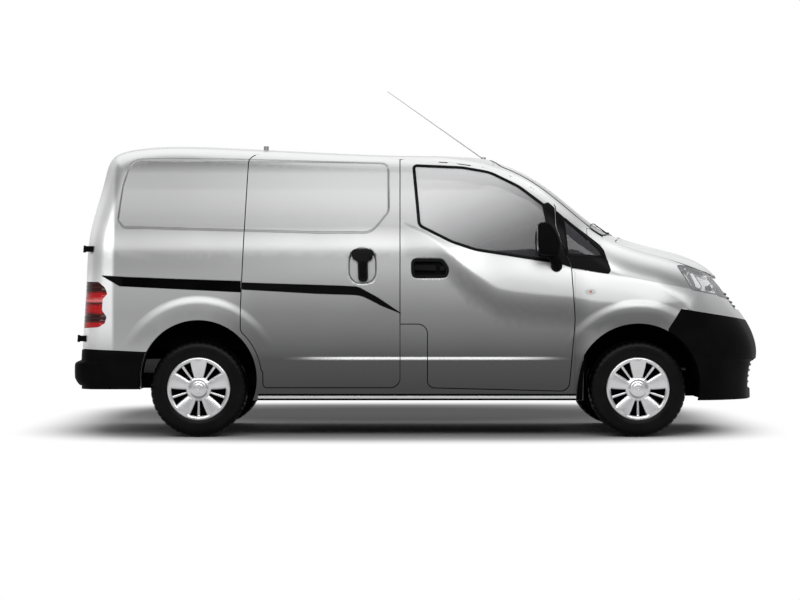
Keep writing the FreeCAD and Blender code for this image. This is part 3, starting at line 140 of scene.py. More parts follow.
class BodyForm:
    """Painted surface of the body: a centre profile, a half width by height and edge radii."""

    NOSE, BONNET, SCREEN, ROOF, TAIL = (0.190, 0.300), (0.095, 0.150), (0.110, 0.085), \
        (0.045, 0.095), (0.050, 0.110)
    STATIONS = (
        (2.170, 0.168, *NOSE), (2.170, 0.3665, *NOSE), (2.194, 0.505, *NOSE),
        (2.122, 0.733, *NOSE), (2.023, 0.871, *NOSE), (1.945, 0.976, 0.190, 0.240),
        (1.846, 1.067, 0.133, 0.195), (1.518, 1.186, *BONNET), (1.262, 1.268, *BONNET),
        (0.862, 1.566, *SCREEN), (0.455, 1.763, *SCREEN), (0.130, 1.781, *ROOF),
        (-1.350, 1.837, *ROOF), (-1.790, 1.822, *ROOF), (-1.945, 1.765, *TAIL),
        (-2.007, 1.606, *TAIL), (-2.095, 1.273, *TAIL), (-2.119, 0.960, *TAIL),
        (-2.145, 0.505, *TAIL), (-2.145, 0.168, *TAIL))
    WIDTHS = ((0.228, 0.806), (0.430, 0.835), (0.760, 0.8475), (1.130, 0.830), (1.360, 0.786),
              (1.640, 0.712), (1.837, 0.640))
    BOW_REACH = 0.800
    SAMPLES = 2600

    def __init__(self):
        stations = np.array(self.STATIONS)
        self.curve, share = natural_curve(stations[:, :2], self.SAMPLES)
        index = np.arange(len(stations))
        self.bow = np.interp(share, index, stations[:, 2])
        self.radius = np.interp(share, index, stations[:, 3])
        along = np.gradient(self.curve, axis=0)
        self.step = np.linalg.norm(along, axis=1)
        self.along = along / self.step[:, None]
        heights, halves = np.array(self.WIDTHS).T
        self.half_width = smooth_line(heights, halves)

    def sample(self, p):
        """Depth below the surface and outward direction at each point."""
        x, y, z = p[:, 0], p[:, 1], p[:, 2]
        near = np.empty(len(p), int)
        for start in range(0, len(p), 4000):
            part = slice(start, start + 4000)
            gap = (x[part, None] - self.curve[None, :, 0]) ** 2
            gap += (z[part, None] - self.curve[None, :, 1]) ** 2
            near[part] = gap.argmin(1)
        offset = np.stack([x, z], 1) - self.curve[near]
        slide = np.clip((offset * self.along[near]).sum(1) / self.step[near], -0.6, 0.6)
        at = np.clip(near + slide, 0, len(self.curve) - 1.001)
        low = at.astype(int)
        share = (at - low)[:, None]
        tangent = self.along[low] * (1 - share) + self.along[low + 1] * share
        outward = np.stack([tangent[:, 1], -tangent[:, 0]], 1)
        spot = self.curve[low] * (1 - share) + self.curve[low + 1] * share
        inside = ((spot - np.stack([x, z], 1)) * outward).sum(1)
        bow = self.bow[low] * (1 - share[:, 0]) + self.bow[low + 1] * share[:, 0]
        radius = self.radius[low] * (1 - share[:, 0]) + self.radius[low + 1] * share[:, 0]
        over = np.maximum(0.0, radius - inside + bow * (y / self.BOW_REACH) ** 2)
        wide = np.maximum(0.0, radius - self.half_width(z) + np.abs(y))
        slope = (self.half_width(z + 1e-4) - self.half_width(z - 1e-4)) / 2e-4
        lift = np.stack([outward[:, 0], 2 * bow * y / self.BOW_REACH ** 2, outward[:, 1]], 1)
        aside = np.stack([np.zeros_like(x), np.sign(y), -slope], 1)
        reach = np.maximum(np.hypot(over, wide), 1e-9)
        direction = (over[:, None] * lift + wide[:, None] * aside) / reach[:, None]
        return radius - reach, direction

    def onto(self, p, rise):
        """Moves points along the outward direction to a rise above the surface."""
        p = p.copy()
        for _ in range(3):
            depth, direction = self.sample(p)
            length = (direction ** 2).sum(1)
            p += direction * ((depth + rise) / length)[:, None]
        return p

    def cast(self, starts, ways, rise=0.0, reach=2.5):
        """Points of the surface along rays from inside the body, raised by a rise."""
        starts, ways = np.atleast_2d(np.asarray(starts, float)), np.asarray(ways, float)
        ways = np.broadcast_to(ways, starts.shape)
        near, far = np.zeros(len(starts)), np.full(len(starts), reach)
        for _ in range(18):
            middle = (near + far) / 2
            outside = self.sample(starts + ways * middle[:, None])[0] < 0
            far, near = np.where(outside, middle, far), np.where(outside, near, middle)
        spots = starts + ways * near[:, None]
        return spots + unit(self.sample(spots)[1]) * np.broadcast_to(rise, near.shape)[:, None]

    def flank(self, x, z, side, rise=0.0):
        """Points of the surface at places in the side view, raised by a rise."""
        x, z = np.asarray(x, float), np.asarray(z, float)
        return self.cast(np.stack([x, np.full(x.shape, 0.30 * side), z], 1), (0, side, 0), rise, 0.6)

    def end(self, y, z, way, rise=0.0):
        """Points of the nose, or of the back where way is -1, at places seen from there."""
        y, z = np.asarray(y, float), np.asarray(z, float)
        return self.cast(np.stack([np.full(y.shape, 1.1 * way), y, z], 1), (way, 0, 0), rise, 1.2)


form = BodyForm()


# Relief of the side panels: creases, flares and pressings, as a rise over x and z

def outline_reach(corners, x, z):
    """Signed distance to a closed outline, positive inside it."""
    corners = np.asarray(corners, float)
    ends = np.roll(corners, -1, axis=0)
    best = np.full(x.shape, 1e9)
    inside = np.zeros(x.shape, bool)
    for (ax, az), (bx, bz) in zip(corners, ends):
        dx, dz = bx - ax, bz - az
        share = np.clip(((x - ax) * dx + (z - az) * dz) / (dx * dx + dz * dz), 0, 1)
        best = np.minimum(best, np.hypot(x - ax - share * dx, z - az - share * dz))
        crosses = ((az > z) != (bz > z)) & (x < (bx - ax) * (z - az) / (bz - az + 1e-12) + ax)
        inside ^= crosses
    return np.where(inside, best, -best)


def rounded_outline(corners, step=0.012):
    """Points along an outline whose corners x, z, radius are rounded."""
    points = []
    count = len(corners)
    for index, (x, z, radius) in enumerate(corners):
        spot = Vector((x, z))
        before = Vector(corners[index - 1][:2]) - spot
        after = Vector(corners[(index + 1) % count][:2]) - spot
        half = before.angle(after) / 2
        reach = min(radius / math.tan(half), 0.48 * before.length, 0.48 * after.length)
        if reach < 1e-4:
            points.append(spot)
            continue
        start, stop = spot + before.normalized() * reach, spot + after.normalized() * reach
        turns = max(2, int(radius * (math.pi - 2 * half) / step))
        for turn in range(turns + 1):
            t = turn / turns
            points.append(start * (1 - t) ** 2 + spot * 2 * t * (1 - t) + stop * t * t)
    return [tuple(point) for point in points]


class Pressing:
    """Area pressed inwards, with a soft edge along its outline."""

    def __init__(self, corners, depth, edge):
        self.corners = rounded_outline(corners, 0.02)
        self.depth, self.edge = depth, edge

    def rise(self, x, z):
        return -self.depth * ease(outline_reach(self.corners, x, z) / self.edge + 0.5)

    def detail(self, x, z):
        return np.abs(outline_reach(self.corners, x, z)) - 0.6 * self.edge


class Flare:
    """Raised band around a wheel arch."""

    def __init__(self, x, z, reach, height, band, low):
        self.x, self.z, self.reach = x, z, reach
        self.height, self.band, self.low = height, band, low

    def rise(self, x, z):
        away = np.hypot(x - self.x, z - self.z)
        inner = 1.0 - 0.8 * ease((self.reach - self.band - away) / 0.14)
        outer = ease((self.reach - away) / self.band)
        return self.height * outer * inner * ease((z - self.low) / 0.18)

    def detail(self, x, z):
        away = np.hypot(x - self.x, z - self.z)
        return np.abs(away - self.reach + 0.5 * self.band) - 0.6 * self.band


class Shoulder:
    """Band that leans outwards between an upper line and the soft crease below it."""

    def __init__(self, upper, crease, height, below, start, stop):
        self.upper = smooth_line(*zip(*upper))
        self.crease = smooth_line(*zip(*crease))
        self.height, self.below = height, below
        self.start, self.stop = start, stop

    def rise(self, x, z):
        top, edge = self.upper(x), self.crease(x)
        wide = np.maximum(top - edge, 0.02)
        over = z - edge
        over = (over + np.hypot(over, 0.007)) / 2
        above = 1.0 - over / wide
        above = (above + np.hypot(above, 0.06)) / 2
        under = 1.0 - ease((edge - z) / self.below)
        ends = ease((x - self.start[0]) / (self.start[1] - self.start[0]))
        ends = ends * ease((self.stop[1] - x) / (self.stop[1] - self.stop[0]))
        return self.height * np.minimum(wide / 0.11, 1.0) * ends * above * under

    def detail(self, x, z):
        return np.minimum(np.abs(z - self.crease(x)), np.abs(z - self.upper(x))) * 0.8


class Ledge:
    """Level crease whose lower side stands out, fading at both ends."""

    def __init__(self, z, height, edge, below, start, stop):
        self.z, self.height, self.edge, self.below = z, height, edge, below
        self.start, self.stop = start, stop

    def rise(self, x, z):
        step = ease((self.z - z) / self.edge + 0.5) * (1.0 - ease((self.z - z) / self.below))
        ends = ease((x - self.start) / 0.22) * ease((self.stop - x) / 0.22)
        return self.height * step * ends

    def detail(self, x, z):
        return np.abs(z - self.z) - 0.6 * self.edge


SIDE_PRESS = ((-1.838, 1.302, 0.010), (-1.875, 1.345, 0.03), (-1.850, 1.560, 0.3),
              (-1.800, 1.728, 0.09), (-1.16, 1.727, 0), (-0.195, 1.708, 0.05),
              (-0.192, 1.40, 0.06), (-0.300, 1.270, 0.10), (-0.62, 1.270, 0), (-1.16, 1.284, 0),
              (-1.40, 1.291, 0))
RAIL = ((-1.964, 1.001, 0.004), (-1.5, 0.983, 0), (-1.100, 0.970, 0), (-1.100, 0.897, 0),
        (-1.859, 0.935, 0.02))
STRIP = ((-1.101, 0.960, 0), (-0.501, 0.941, 0.3), (-0.382, 0.935, 0.1), (-0.260, 0.868, 0.2),
         (-0.100, 0.760, 0.003), (-0.232, 0.812, 0.3), (-0.365, 0.880, 0.2),
         (-0.640, 0.889, 0.3), (-1.101, 0.915, 0))
HANDLE_CUP = ((-0.050, 1.104, 0.03), (0.140, 1.104, 0.045), (0.178, 1.050, 0.05),
              (0.172, 0.992, 0.03), (-0.046, 0.990, 0.03))
GRIP_CUP = ((-0.434, 1.163, 0.075), (-0.275, 1.163, 0.075), (-0.275, 0.957, 0.075),
            (-0.434, 0.957, 0.075))
DOOR_FRAME = ((0.825, 1.090, 0.005), (0.9355, 1.052, 0.005), (0.8440, 1.312, 0.15),
              (0.8420, 1.425, 0.02), (0.802, 1.460, 0.01), (0.772, 1.452, 0.01),
              (0.798, 1.300, 0.1))
QUARTER_FRAME = ((0.8500, 1.408, 0.003), (0.918, 1.348, 0.3), (1.037, 1.258, 0.3),
                 (1.111, 1.200, 0.1), (1.143, 1.162, 0.05), (1.163, 1.098, 0.1),
                 (1.180, 1.036, 0.01), (1.174, 1.014, 0.01), (0.9425, 1.048, 0.003),
                 (0.8510, 1.314, 0.15))
BELT = ((-0.10, 1.330), (0.06, 1.262), (0.20, 1.208), (0.345, 1.160), (0.60, 1.118),
        (0.937, 1.052), (1.172, 1.014), (1.716, 0.913))
SWOOSH = ((-0.10, 1.320), (0.064, 1.244), (0.250, 1.086), (0.380, 0.990), (0.497, 0.922),
          (0.700, 0.890), (0.949, 0.868), (1.116, 0.840), (1.40, 0.830), (1.716, 0.845))
TRIM_RISES = (-0.002, 0.0022)
SIDE_RELIEF = (
    Pressing(SIDE_PRESS, 0.007, 0.018),
    Pressing(HANDLE_CUP, 0.020, 0.012), Pressing(GRIP_CUP, 0.020, 0.020),
    Flare(*REAR_ARCH, 0.516, 0.006, 0.056, 0.54), Flare(*FRONT_ARCH, 0.536, 0.008, 0.056, 0.54),
    Shoulder(BELT, SWOOSH, 0.017, 0.20, (-0.14, -0.06), (1.45, 1.72)),
    Ledge(0.492, 0.005, 0.030, 0.20, -0.86, 0.97),
)


def side_relief(x, z):
    return sum(feature.rise(x, z) for feature in SIDE_RELIEF)


DOOR_EDGE = smooth_line((0.28, 0.73, 1.04, 1.31), (0.940, 0.963, 0.941, 0.849))


def shut_fade(x, z):
    """Relief that the panels keep: none along a front door's hinge line, so that it can swing."""
    return ease((np.abs(x - DOOR_EDGE(z)) - 0.010) / 0.060)


def side_detail(x, z):
    """Distance to the nearest edge of the relief, which sets how fine the mesh is."""
    best = np.full(np.shape(x), 1.0)
    for feature in SIDE_RELIEF:
        best = np.minimum(best, feature.detail(x, z))
    return best


# Shader graphs

def math_step(operation, swapped=False):
    """Method that combines a value of a graph with another one in a math node."""
    def step(self, other):
        first, second = (other, self) if swapped else (self, other)
        return self.math(operation, first, second)

    return step


class Shade:
    """A value in a material's graph, combined with others by ordinary arithmetic."""

    __add__ = __radd__ = math_step("ADD")
    __sub__, __rsub__ = math_step("SUBTRACT"), math_step("SUBTRACT", swapped=True)
    __mul__ = __rmul__ = math_step("MULTIPLY")
    __truediv__ = math_step("DIVIDE")
    largest, smallest = math_step("MAXIMUM"), math_step("MINIMUM")
    power = math_step("POWER")

    def __init__(self, finish, socket):
        self.finish, self.socket = finish, socket

    def math(self, operation, first, second=None):
        node = self.finish.tree.nodes.new("ShaderNodeMath")
        node.operation = operation
        for slot, value in zip(node.inputs, (first, second)):
            if isinstance(value, Shade):
                self.finish.tree.links.new(value.socket, slot)
            elif value is not None:
                slot.default_value = value
        return Shade(self.finish, node.outputs[0])

    def __neg__(self):
        return self.math("MULTIPLY", self, -1.0)

    def __abs__(self):
        return self.math("ABSOLUTE", self)

    def wave(self):
        return self.math("SINE", self)

    def eased(self, low, high, start=0.0, stop=1.0):
        """Smooth change from start to stop while this value goes from low to high."""
        return self.finish.node("MapRange", {"interpolation_type": "SMOOTHSTEP"},
                                {"Value": self, "From Min": low, "From Max": high,
                                 "To Min": start, "To Max": stop})


class Finish:
    """One material, made by its nodes."""

    def __init__(self, name, tree=None):
        self.material = None
        if tree is None:
            self.material = bpy.data.materials.new(name)
            self.material.use_nodes = True
            tree = self.material.node_tree
        self.tree = tree
        self.tree.nodes.clear()

    def node(self, kind, settings=None, sockets=None, output=0):
        """New node with its settings, then the values or links of its sockets."""
        made = self.tree.nodes.new("ShaderNode" + kind)
        for name, value in (settings or {}).items():
            if name == "stops":
                ramp = made.color_ramp
                while len(ramp.elements) < len(value):
                    ramp.elements.new(0.5)
                for element, (place, color) in zip(ramp.elements, value):
                    element.position, element.color = place, color
            else:
                setattr(made, name, value)
        for name, value in (sockets or {}).items():
            slot = made.inputs[name]
            if isinstance(value, Shade):
                self.tree.links.new(value.socket, slot)
            else:
                slot.default_value = value
        return Shade(self, made.outputs[output]) if len(made.outputs) else None

    def place(self):
        """Own coordinates of the piece, which are those of the vehicle at rest."""
        return self.node("TexCoord", output="Object")

    def axes(self, place=None):
        split = self.tree.nodes.new("ShaderNodeSeparateXYZ")
        self.tree.links.new((place or self.place()).socket, split.inputs[0])
        return [Shade(self, socket) for socket in split.outputs]

    def noise(self, scale, detail=2.0):
        return self.node("TexNoise", {"noise_dimensions": "3D"},
                         {"Vector": self.place(), "Scale": scale, "Detail": detail})

    def mix(self, factor, first, second):
        """Colour between two colours."""
        made = self.tree.nodes.new("ShaderNodeMix")
        made.data_type = "RGBA"
        for slot, value in ((made.inputs[0], factor), (made.inputs[6], first),
                            (made.inputs[7], second)):
            if isinstance(value, Shade):
                self.tree.links.new(value.socket, slot)
            else:
                slot.default_value = value
        return Shade(self, made.outputs[2])

    def ramp(self, value, start, stops):
        """Grey tone over a value, through the tones at the places of the stops."""
        colors = [(0.0, rgba(start))] + [(place, rgba(tone)) for place, tone in stops]
        return self.node("ValToRGB", {"stops": colors}, {"Fac": value})

    def bump(self, height, strength, distance):
        return self.node("Bump", None, {"Height": height, "Strength": strength,
                                        "Distance": distance})

    def surface(self, **sockets):
        """Ends the material in a Principled shader with these sockets."""
        words = {name.replace("_", " "): value for name, value in sockets.items()}
        shader = self.node("BsdfPrincipled", None, words)
        self.node("OutputMaterial", None, {"Surface": shader})
        return self.material


def rgba(color):
    """Opaque colour, from three parts or from one grey tone."""
    red, green, blue = (color,) * 3 if isinstance(color, float) else color
    return (red, green, blue, 1.0)


def paint_finish(settings):
    """Silver lacquer with painted light and shade: darker towards the sills, lighter towards the roof
    and where a surface faces upwards, with painted highlights and a painted shade above the wing
    crease.
    """
    finish = Finish("silver_paint")
    x, _, z = finish.axes()
    cloud = finish.noise(2.5, 1.0)
    # Painted shade by height: the silver is painted darker towards the sills and lighter towards the
    # roof, where a ramp's place is half the height in metres
    tail = (-x).eased(1.00, 1.75)
    height = z.largest((z + 0.50 * tail).smallest(0.95 + 0.06 * tail)) + 0.02 * cloud
    tone = finish.ramp(height / 2.0, settings.paint_low_painted_shade, [
        (0.155, settings.paint_low_painted_shade), (0.25, 0.055), (0.37, 0.185), (0.49, 0.31),
        (0.60, settings.paint_middle_painted_shade), (0.66, 0.19), (0.76, 0.37), (0.90, settings.paint_high_painted_light)])
    # Painted highlights: paler areas on the rear corner, the front wing and its foot, the haunch, and a
    # painted highlight along the low crease
    corner = (-x).eased(1.885, 1.915) * z.eased(0.45, 0.75)
    wing = x.eased(1.05, 1.35) * z.eased(0.62, 0.80) * z.eased(0.86, 1.00, 1.0, 0.25)
    heel = x.eased(0.96, 1.08) * z.eased(0.40, 0.62)
    haunch = (-x).eased(0.95, 1.25) * z.eased(0.50, 0.84) * z.eased(0.90, 1.00, 1.0, 0.0)
    low_crease_highlight = abs(z - 0.489).eased(0.004, 0.013, 1.0, 0.0) * abs(x - 0.05).eased(0.45, 0.92, 1.0, 0.0)
    pale = corner.largest(0.10 * wing).largest(0.15 * heel).largest(0.05 * haunch)
    tone = finish.mix(pale.largest(0.50 * low_crease_highlight), tone, rgba(0.80))
    # Painted shade above the crease that runs along the front wing
    rise = z - (1.232 - 0.186 * x)
    wing_crease_shade = rise.eased(-0.004, 0.004) * rise.eased(0.02, 0.20, 1.0, 0.0) * x.eased(1.10, 1.30)
    lean = finish.ramp(z / 2.0, 0.0, [(0.12, 0.30), (0.22, 0.42), (0.38, 0.50), (0.56, 0.56),
                                      (0.68, 0.63), (0.82, 0.69), (0.92, 0.90)])
    # Painted light and shade by lean: a surface that leans further up than the lean of its height is
    # painted lighter, one that leans less is painted darker
    up = finish.axes(finish.node("NewGeometry", output="Normal"))[2]
    facing = (1.0 + settings.flip * (up - (2.0 * lean - 1.0))).smallest(1.25).largest(0.45)
    # Painted light: the upper panels are painted lighter towards the front and darker towards the back
    forward = x.eased(-1.75, -0.30, 0.84, 1.17) + x.eased(0.45, 0.85, 0.0, 0.25)
    facing = facing * (1.0 + (forward - 1.0) * z.eased(0.95, 1.08)) * (1.0 - 0.42 * wing_crease_shade)
    glint = finish.noise(1500.0, 0.0)
    light = (finish.node("RGBToBW", None, {"Color": tone}) * facing
             * glint.eased(0.3, 0.7, 0.95, 1.05)).smallest(z.eased(1.45, 1.70, 0.80, 0.60))
    color = finish.node("CombineColor", None, {"Red": light, "Green": light * 1.004,
                                               "Blue": light * 1.01})
    return finish.surface(Base_Color=color, Metallic=settings.paint_metal,
                          Roughness=0.36 + 0.05 * cloud, Coat_Weight=0.25, Coat_Roughness=0.05,
                          Normal=finish.bump(glint, 0.04, 0.0002))


def grained_finish(name, color, roughness, grain, depth, gloss):
    """Moulded plastic with a fine leather-like grain."""
    finish = Finish(name)
    cells = finish.node("TexVoronoi", {"feature": "DISTANCE_TO_EDGE"},
                        {"Vector": finish.place(), "Scale": grain}, output="Distance")
    cloud = finish.noise(6.0, 3.0)
    light = tuple(min(1.0, 1.7 * part + 0.0005) for part in color)
    tone = finish.mix(cloud.eased(0.35, 0.75), rgba(color), rgba(light))
    return finish.surface(Base_Color=tone, Roughness=roughness + 0.10 * cloud,
                          Specular_IOR_Level=gloss, Normal=finish.bump(cells, 0.35, depth))


def glass_finish(settings):
    """Tinted window glass over a dim cab, with a painted reflection that makes it paler towards the
    roof and towards the back.
    """
    finish = Finish("window_glass")
    x, _, z = finish.axes()
    cloud = finish.noise(1.5, 1.0)
    # Painted reflection: the glass is paler and more see-through higher up and further back
    down = (z - 0.42 * x.largest(0.0) + 0.04 * cloud).eased(0.92, 1.62)
    tone = finish.mix(down, (0.040, 0.040, 0.044, 1.0), (0.93, 0.93, 0.94, 1.0))
    return finish.surface(Base_Color=tone, Roughness=0.04 + 0.02 * cloud,
                          Alpha=settings.glass_alpha + 0.14 - 0.24 * down, Specular_IOR_Level=0.4)


def tyre_finish():
    """Black rubber, a little greyer and drier in patches."""
    finish = Finish("tyre_rubber")
    dust = finish.noise(14.0, 4.0)
    fine = finish.noise(260.0, 2.0)
    tone = finish.mix(dust.eased(0.35, 0.7), rgba(0.0010), rgba(0.0024))
    return finish.surface(Base_Color=tone, Roughness=0.26 + 0.16 * dust, Specular_IOR_Level=0.09,
                          Normal=finish.bump(fine, 0.25, 0.0004))


def alloy_finish(name, color, roughness, metal):
    """Sprayed silver or bare metal with faint cloudiness."""
    finish = Finish(name)
    cloud = finish.noise(9.0, 3.0)
    speck = finish.noise(700.0, 1.0)
    tone = finish.mix(cloud.eased(0.3, 0.75), rgba(color),
                      rgba([min(1.0, part * 1.12) for part in color]))
    return finish.surface(Base_Color=tone, Metallic=metal, Roughness=roughness + 0.08 * cloud,
                          Coat_Weight=0.2, Coat_Roughness=0.15,
                          Normal=finish.bump(speck, 0.08, 0.0002))


def lamp_finish(name, dark, light, band, alpha=1.0):
    """Moulded lamp cover with upright flutes and a change of tone between bands."""
    finish = Finish(name)
    x, y, z = finish.axes()
    flutes = ((y + 0.6 * x) * 420.0).wave()
    bands = ((z + 0.03 * finish.noise(9.0)) * band).wave()
    tone = finish.mix((bands + 0.5 * finish.noise(40.0)).eased(-0.5, 1.0), rgba(dark), rgba(light))
    return finish.surface(Base_Color=tone, Roughness=0.09 + 0.04 * flutes, Alpha=alpha,
                          Coat_Weight=0.4, Normal=finish.bump(flutes, 0.25, 0.0010))


def tail_finish():
    """Red lamp cover: dark chambers above and below a bright one, pale bands of painted highlight, with
    fine steps.
    """
    finish = Finish("red_lamp")
    z = finish.axes()[2]
    # Painted highlights: the pale tone at the foot of the lamp and in one band higher up
    dark, red, pale = (0.030, 0.0005, 0.0005), (0.46, 0.004, 0.006), (0.80, 0.20, 0.20)
    level = (z - 0.66) / 0.32 + 0.05 * finish.noise(30.0)
    tone = finish.ramp(level, pale, [
        (0.09, red), (0.17, red), (0.21, dark), (0.34, dark), (0.39, red), (0.50, red),
        (0.56, dark), (0.60, pale), (0.68, red), (0.74, red), (0.79, dark)])
    steps = (z * 300.0).wave()
    return finish.surface(Base_Color=tone, Roughness=0.12 + 0.04 * steps, Coat_Weight=0.15,
                          Specular_IOR_Level=0.2, Normal=finish.bump(steps, 0.25, 0.0010))


def cloth_finish(name, color):
    """Woven seat cloth: crossing threads with a soft sheen."""
    thread = 900.0
    finish = Finish(name)
    x, y, z = finish.axes()
    warp = ((y + 0.15 * x) * thread).wave()
    weft = ((z + x) * thread * 0.8).wave()
    weave = warp * weft
    blotch = finish.noise(25.0, 4.0)
    tone = finish.mix((0.5 * weave + blotch).eased(0.1, 1.0), rgba(color),
                      rgba([min(1.0, part * 1.9 + 0.01) for part in color]))
    return finish.surface(Base_Color=tone, Roughness=0.86 + 0.08 * weave, Sheen_Weight=0.25,
                          Normal=finish.bump(weave, 0.35, 0.0005))


finishes = {}


# Meshes

def add_piece(name, mesh, body, finish, replaces=()):
    """Adds a mesh to the scene with its finish, riding on a body of the van."""
    piece = bpy.data.objects.new(name, mesh)
    bpy.context.scene.collection.objects.link(piece)
    mesh.materials.clear()
    mesh.materials.append(finishes[finish])
    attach(piece, body)
    if replaces:
        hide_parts(*replaces)
    return piece


def body_of(node):
    return frame["nodes"][node]["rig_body"]


def from_grid(name, rows, closed_rows=False, closed_columns=False, gaps=()):
    """Mesh of quads over a grid of points, smooth, with the named cells left open."""
    count, width = len(rows), len(rows[0])
    verts = [tuple(point) for row in rows for point in row]
    faces = []
    for row in range(count if closed_rows else count - 1):
        for column in range(width if closed_columns else width - 1):
            if (row, column) in gaps:
                continue
            after, beside = (row + 1) % count, (column + 1) % width
            faces.append((row * width + column, row * width + beside,
                          after * width + beside, after * width + column))
    mesh = bpy.data.meshes.new(name)
    mesh.from_pydata(verts, [], faces)
    mesh.shade_smooth()
    return mesh


def finished(name, mesh, *steps):
    """Applies modifiers, each a type and its settings, and returns the new mesh."""
    piece = bpy.data.objects.new(name, mesh)
    bpy.context.scene.collection.objects.link(piece)
    for kind, settings in steps:
        modifier = piece.modifiers.new(kind.lower(), kind)
        for key, value in settings.items():
            setattr(modifier, key, value)
    graph = bpy.context.evaluated_depsgraph_get()
    made = bpy.data.meshes.new_from_object(piece.evaluated_get(graph))
    made.name = name
    bpy.data.objects.remove(piece)
    return made


def bevelled(width):
    return ("BEVEL", {"width": width, "segments": 2, "limit_method": "ANGLE",
                      "angle_limit": math.radians(40.0), "harden_normals": False})


def thickened(depth):
    return ("SOLIDIFY", {"thickness": depth, "offset": 0.0})


def subdivided():
    return ("SUBSURF", {"levels": 1, "render_levels": 1})


def read_rows(items, name):
    """One vector of each vertex or face of a mesh, as rows."""
    rows = np.empty(len(items) * 3)
    items.foreach_get(name, rows)
    return rows.reshape(-1, 3)


def cut_off(mesh, place, normal):
    """Removes what lies behind a plane."""
    bm = bmesh.new()
    bm.from_mesh(mesh)
    bmesh.ops.bisect_plane(bm, geom=bm.verts[:] + bm.edges[:] + bm.faces[:], plane_co=place,
                           plane_no=normal, clear_inner=True)
    bm.to_mesh(mesh)
    bm.free()


def oval(x, z, width, height, count):
    """Corners of an oval in the side view."""
    turns = [step * math.pi / (count / 2) for step in range(count)]
    return [(x + width * math.cos(turn), z + height * math.sin(turn)) for turn in turns]


def lathe(name, rows, segments, outward, notch=None):
    """Turns rows of distance outwards and radius about the Y axis."""
    points = []
    for index, (along, radius) in enumerate(rows):
        ring = []
        for step in range(segments):
            angle = 2 * math.pi * step / segments
            reach = radius - (notch(index, step) if notch else 0.0)
            ring.append((reach * math.cos(angle), outward * along, reach * math.sin(angle)))
        points.append(ring if outward > 0 else ring[::-1])
    return from_grid(name, points, closed_columns=True)


def tube(name, points, radius, body, finish):
    """Round bar along a smooth line through the points."""
    curve = bpy.data.curves.new(name, "CURVE")
    curve.dimensions, curve.bevel_depth, curve.bevel_resolution = "3D", 1.0, 4
    curve.use_fill_caps = True
    spline = curve.splines.new("POLY")
    spline.points.add(len(points) - 1)
    radii = radius if isinstance(radius, (list, tuple)) else [radius] * len(points)
    for spot, place, size in zip(spline.points, points, radii):
        spot.co, spot.radius = (*place, 1.0), size
    shape = bpy.data.objects.new(name, curve)
    bpy.context.scene.collection.objects.link(shape)
    graph = bpy.context.evaluated_depsgraph_get()
    mesh = bpy.data.meshes.new_from_object(shape.evaluated_get(graph))
    bpy.data.objects.remove(shape)
    mesh.name = name
    mesh.shade_smooth()
    return add_piece(name, mesh, body, finish)


def offset_outline(points, distance):
    """Outline moved sideways by a distance, outwards if the points run anticlockwise."""
    count = len(points)
    area = sum(points[i - 1][0] * points[i][1] - points[i][0] * points[i - 1][1]
               for i in range(count))
    turn = 1.0 if area > 0 else -1.0
    moved = []
    for index, spot in enumerate(points):
        before, after = Vector(points[index - 1]), Vector(points[(index + 1) % count])
        along = (after - before).normalized()
        moved.append((spot[0] + turn * distance * along.y, spot[1] - turn * distance * along.x))
    return moved


def plate_mesh(name, outline, side, low, high, holes, edge, relief, bevel):
    """Plate over the side of the body, from a low to a high rise above the surface."""
    bm = bmesh.new()
    for loop in (outline, *holes):
        ring = [bm.verts.new((x, 0.0, z)) for x, z in loop]
        for start, stop in zip(ring, ring[1:] + ring[:1]):
            bm.edges.new((start, stop))
    bmesh.ops.triangle_fill(bm, use_beauty=True, edges=bm.edges[:])
    for _ in range(6):
        long = [item for item in bm.edges if item.calc_length() > 1.5 * edge]
        if not long:
            break
        bmesh.ops.subdivide_edges(bm, edges=long, cuts=1, use_single_edge=True)
        bmesh.ops.triangulate(bm, faces=[f for f in bm.faces if len(f.verts) > 3],
                              quad_method="BEAUTY")
    grown = bmesh.ops.extrude_face_region(bm, geom=bm.faces[:])["geom"]
    top = {item for item in grown if isinstance(item, bmesh.types.BMVert)}
    verts = bm.verts[:]
    spots = np.array([vert.co for vert in verts])
    rise = np.array([high if vert in top else low for vert in verts])
    if relief:
        rise = rise + relief(spots[:, 0], spots[:, 2]) * shut_fade(spots[:, 0], spots[:, 2])
    places = form.flank(spots[:, 0], spots[:, 2], side, rise)
    for vert, place in zip(verts, places):
        vert.co = place
    bmesh.ops.recalc_face_normals(bm, faces=bm.faces[:])
    mesh = bpy.data.meshes.new(name)
    bm.to_mesh(mesh)
    bm.free()
    mesh.shade_smooth()
    mesh.set_sharp_from_angle(angle=math.radians(50))
    return finished(name, mesh, bevelled(bevel)) if bevel else mesh


def add_plate(name, outline, side, rises, body, finish, holes=(), edge=0.022, relief=None,
              bevel=0.0015):
    """Adds a plate over the side of the body as a piece of its own."""
    mesh = plate_mesh(name, outline, side, *rises, holes, edge, relief, bevel)
    return add_piece(name, mesh, body, finish)


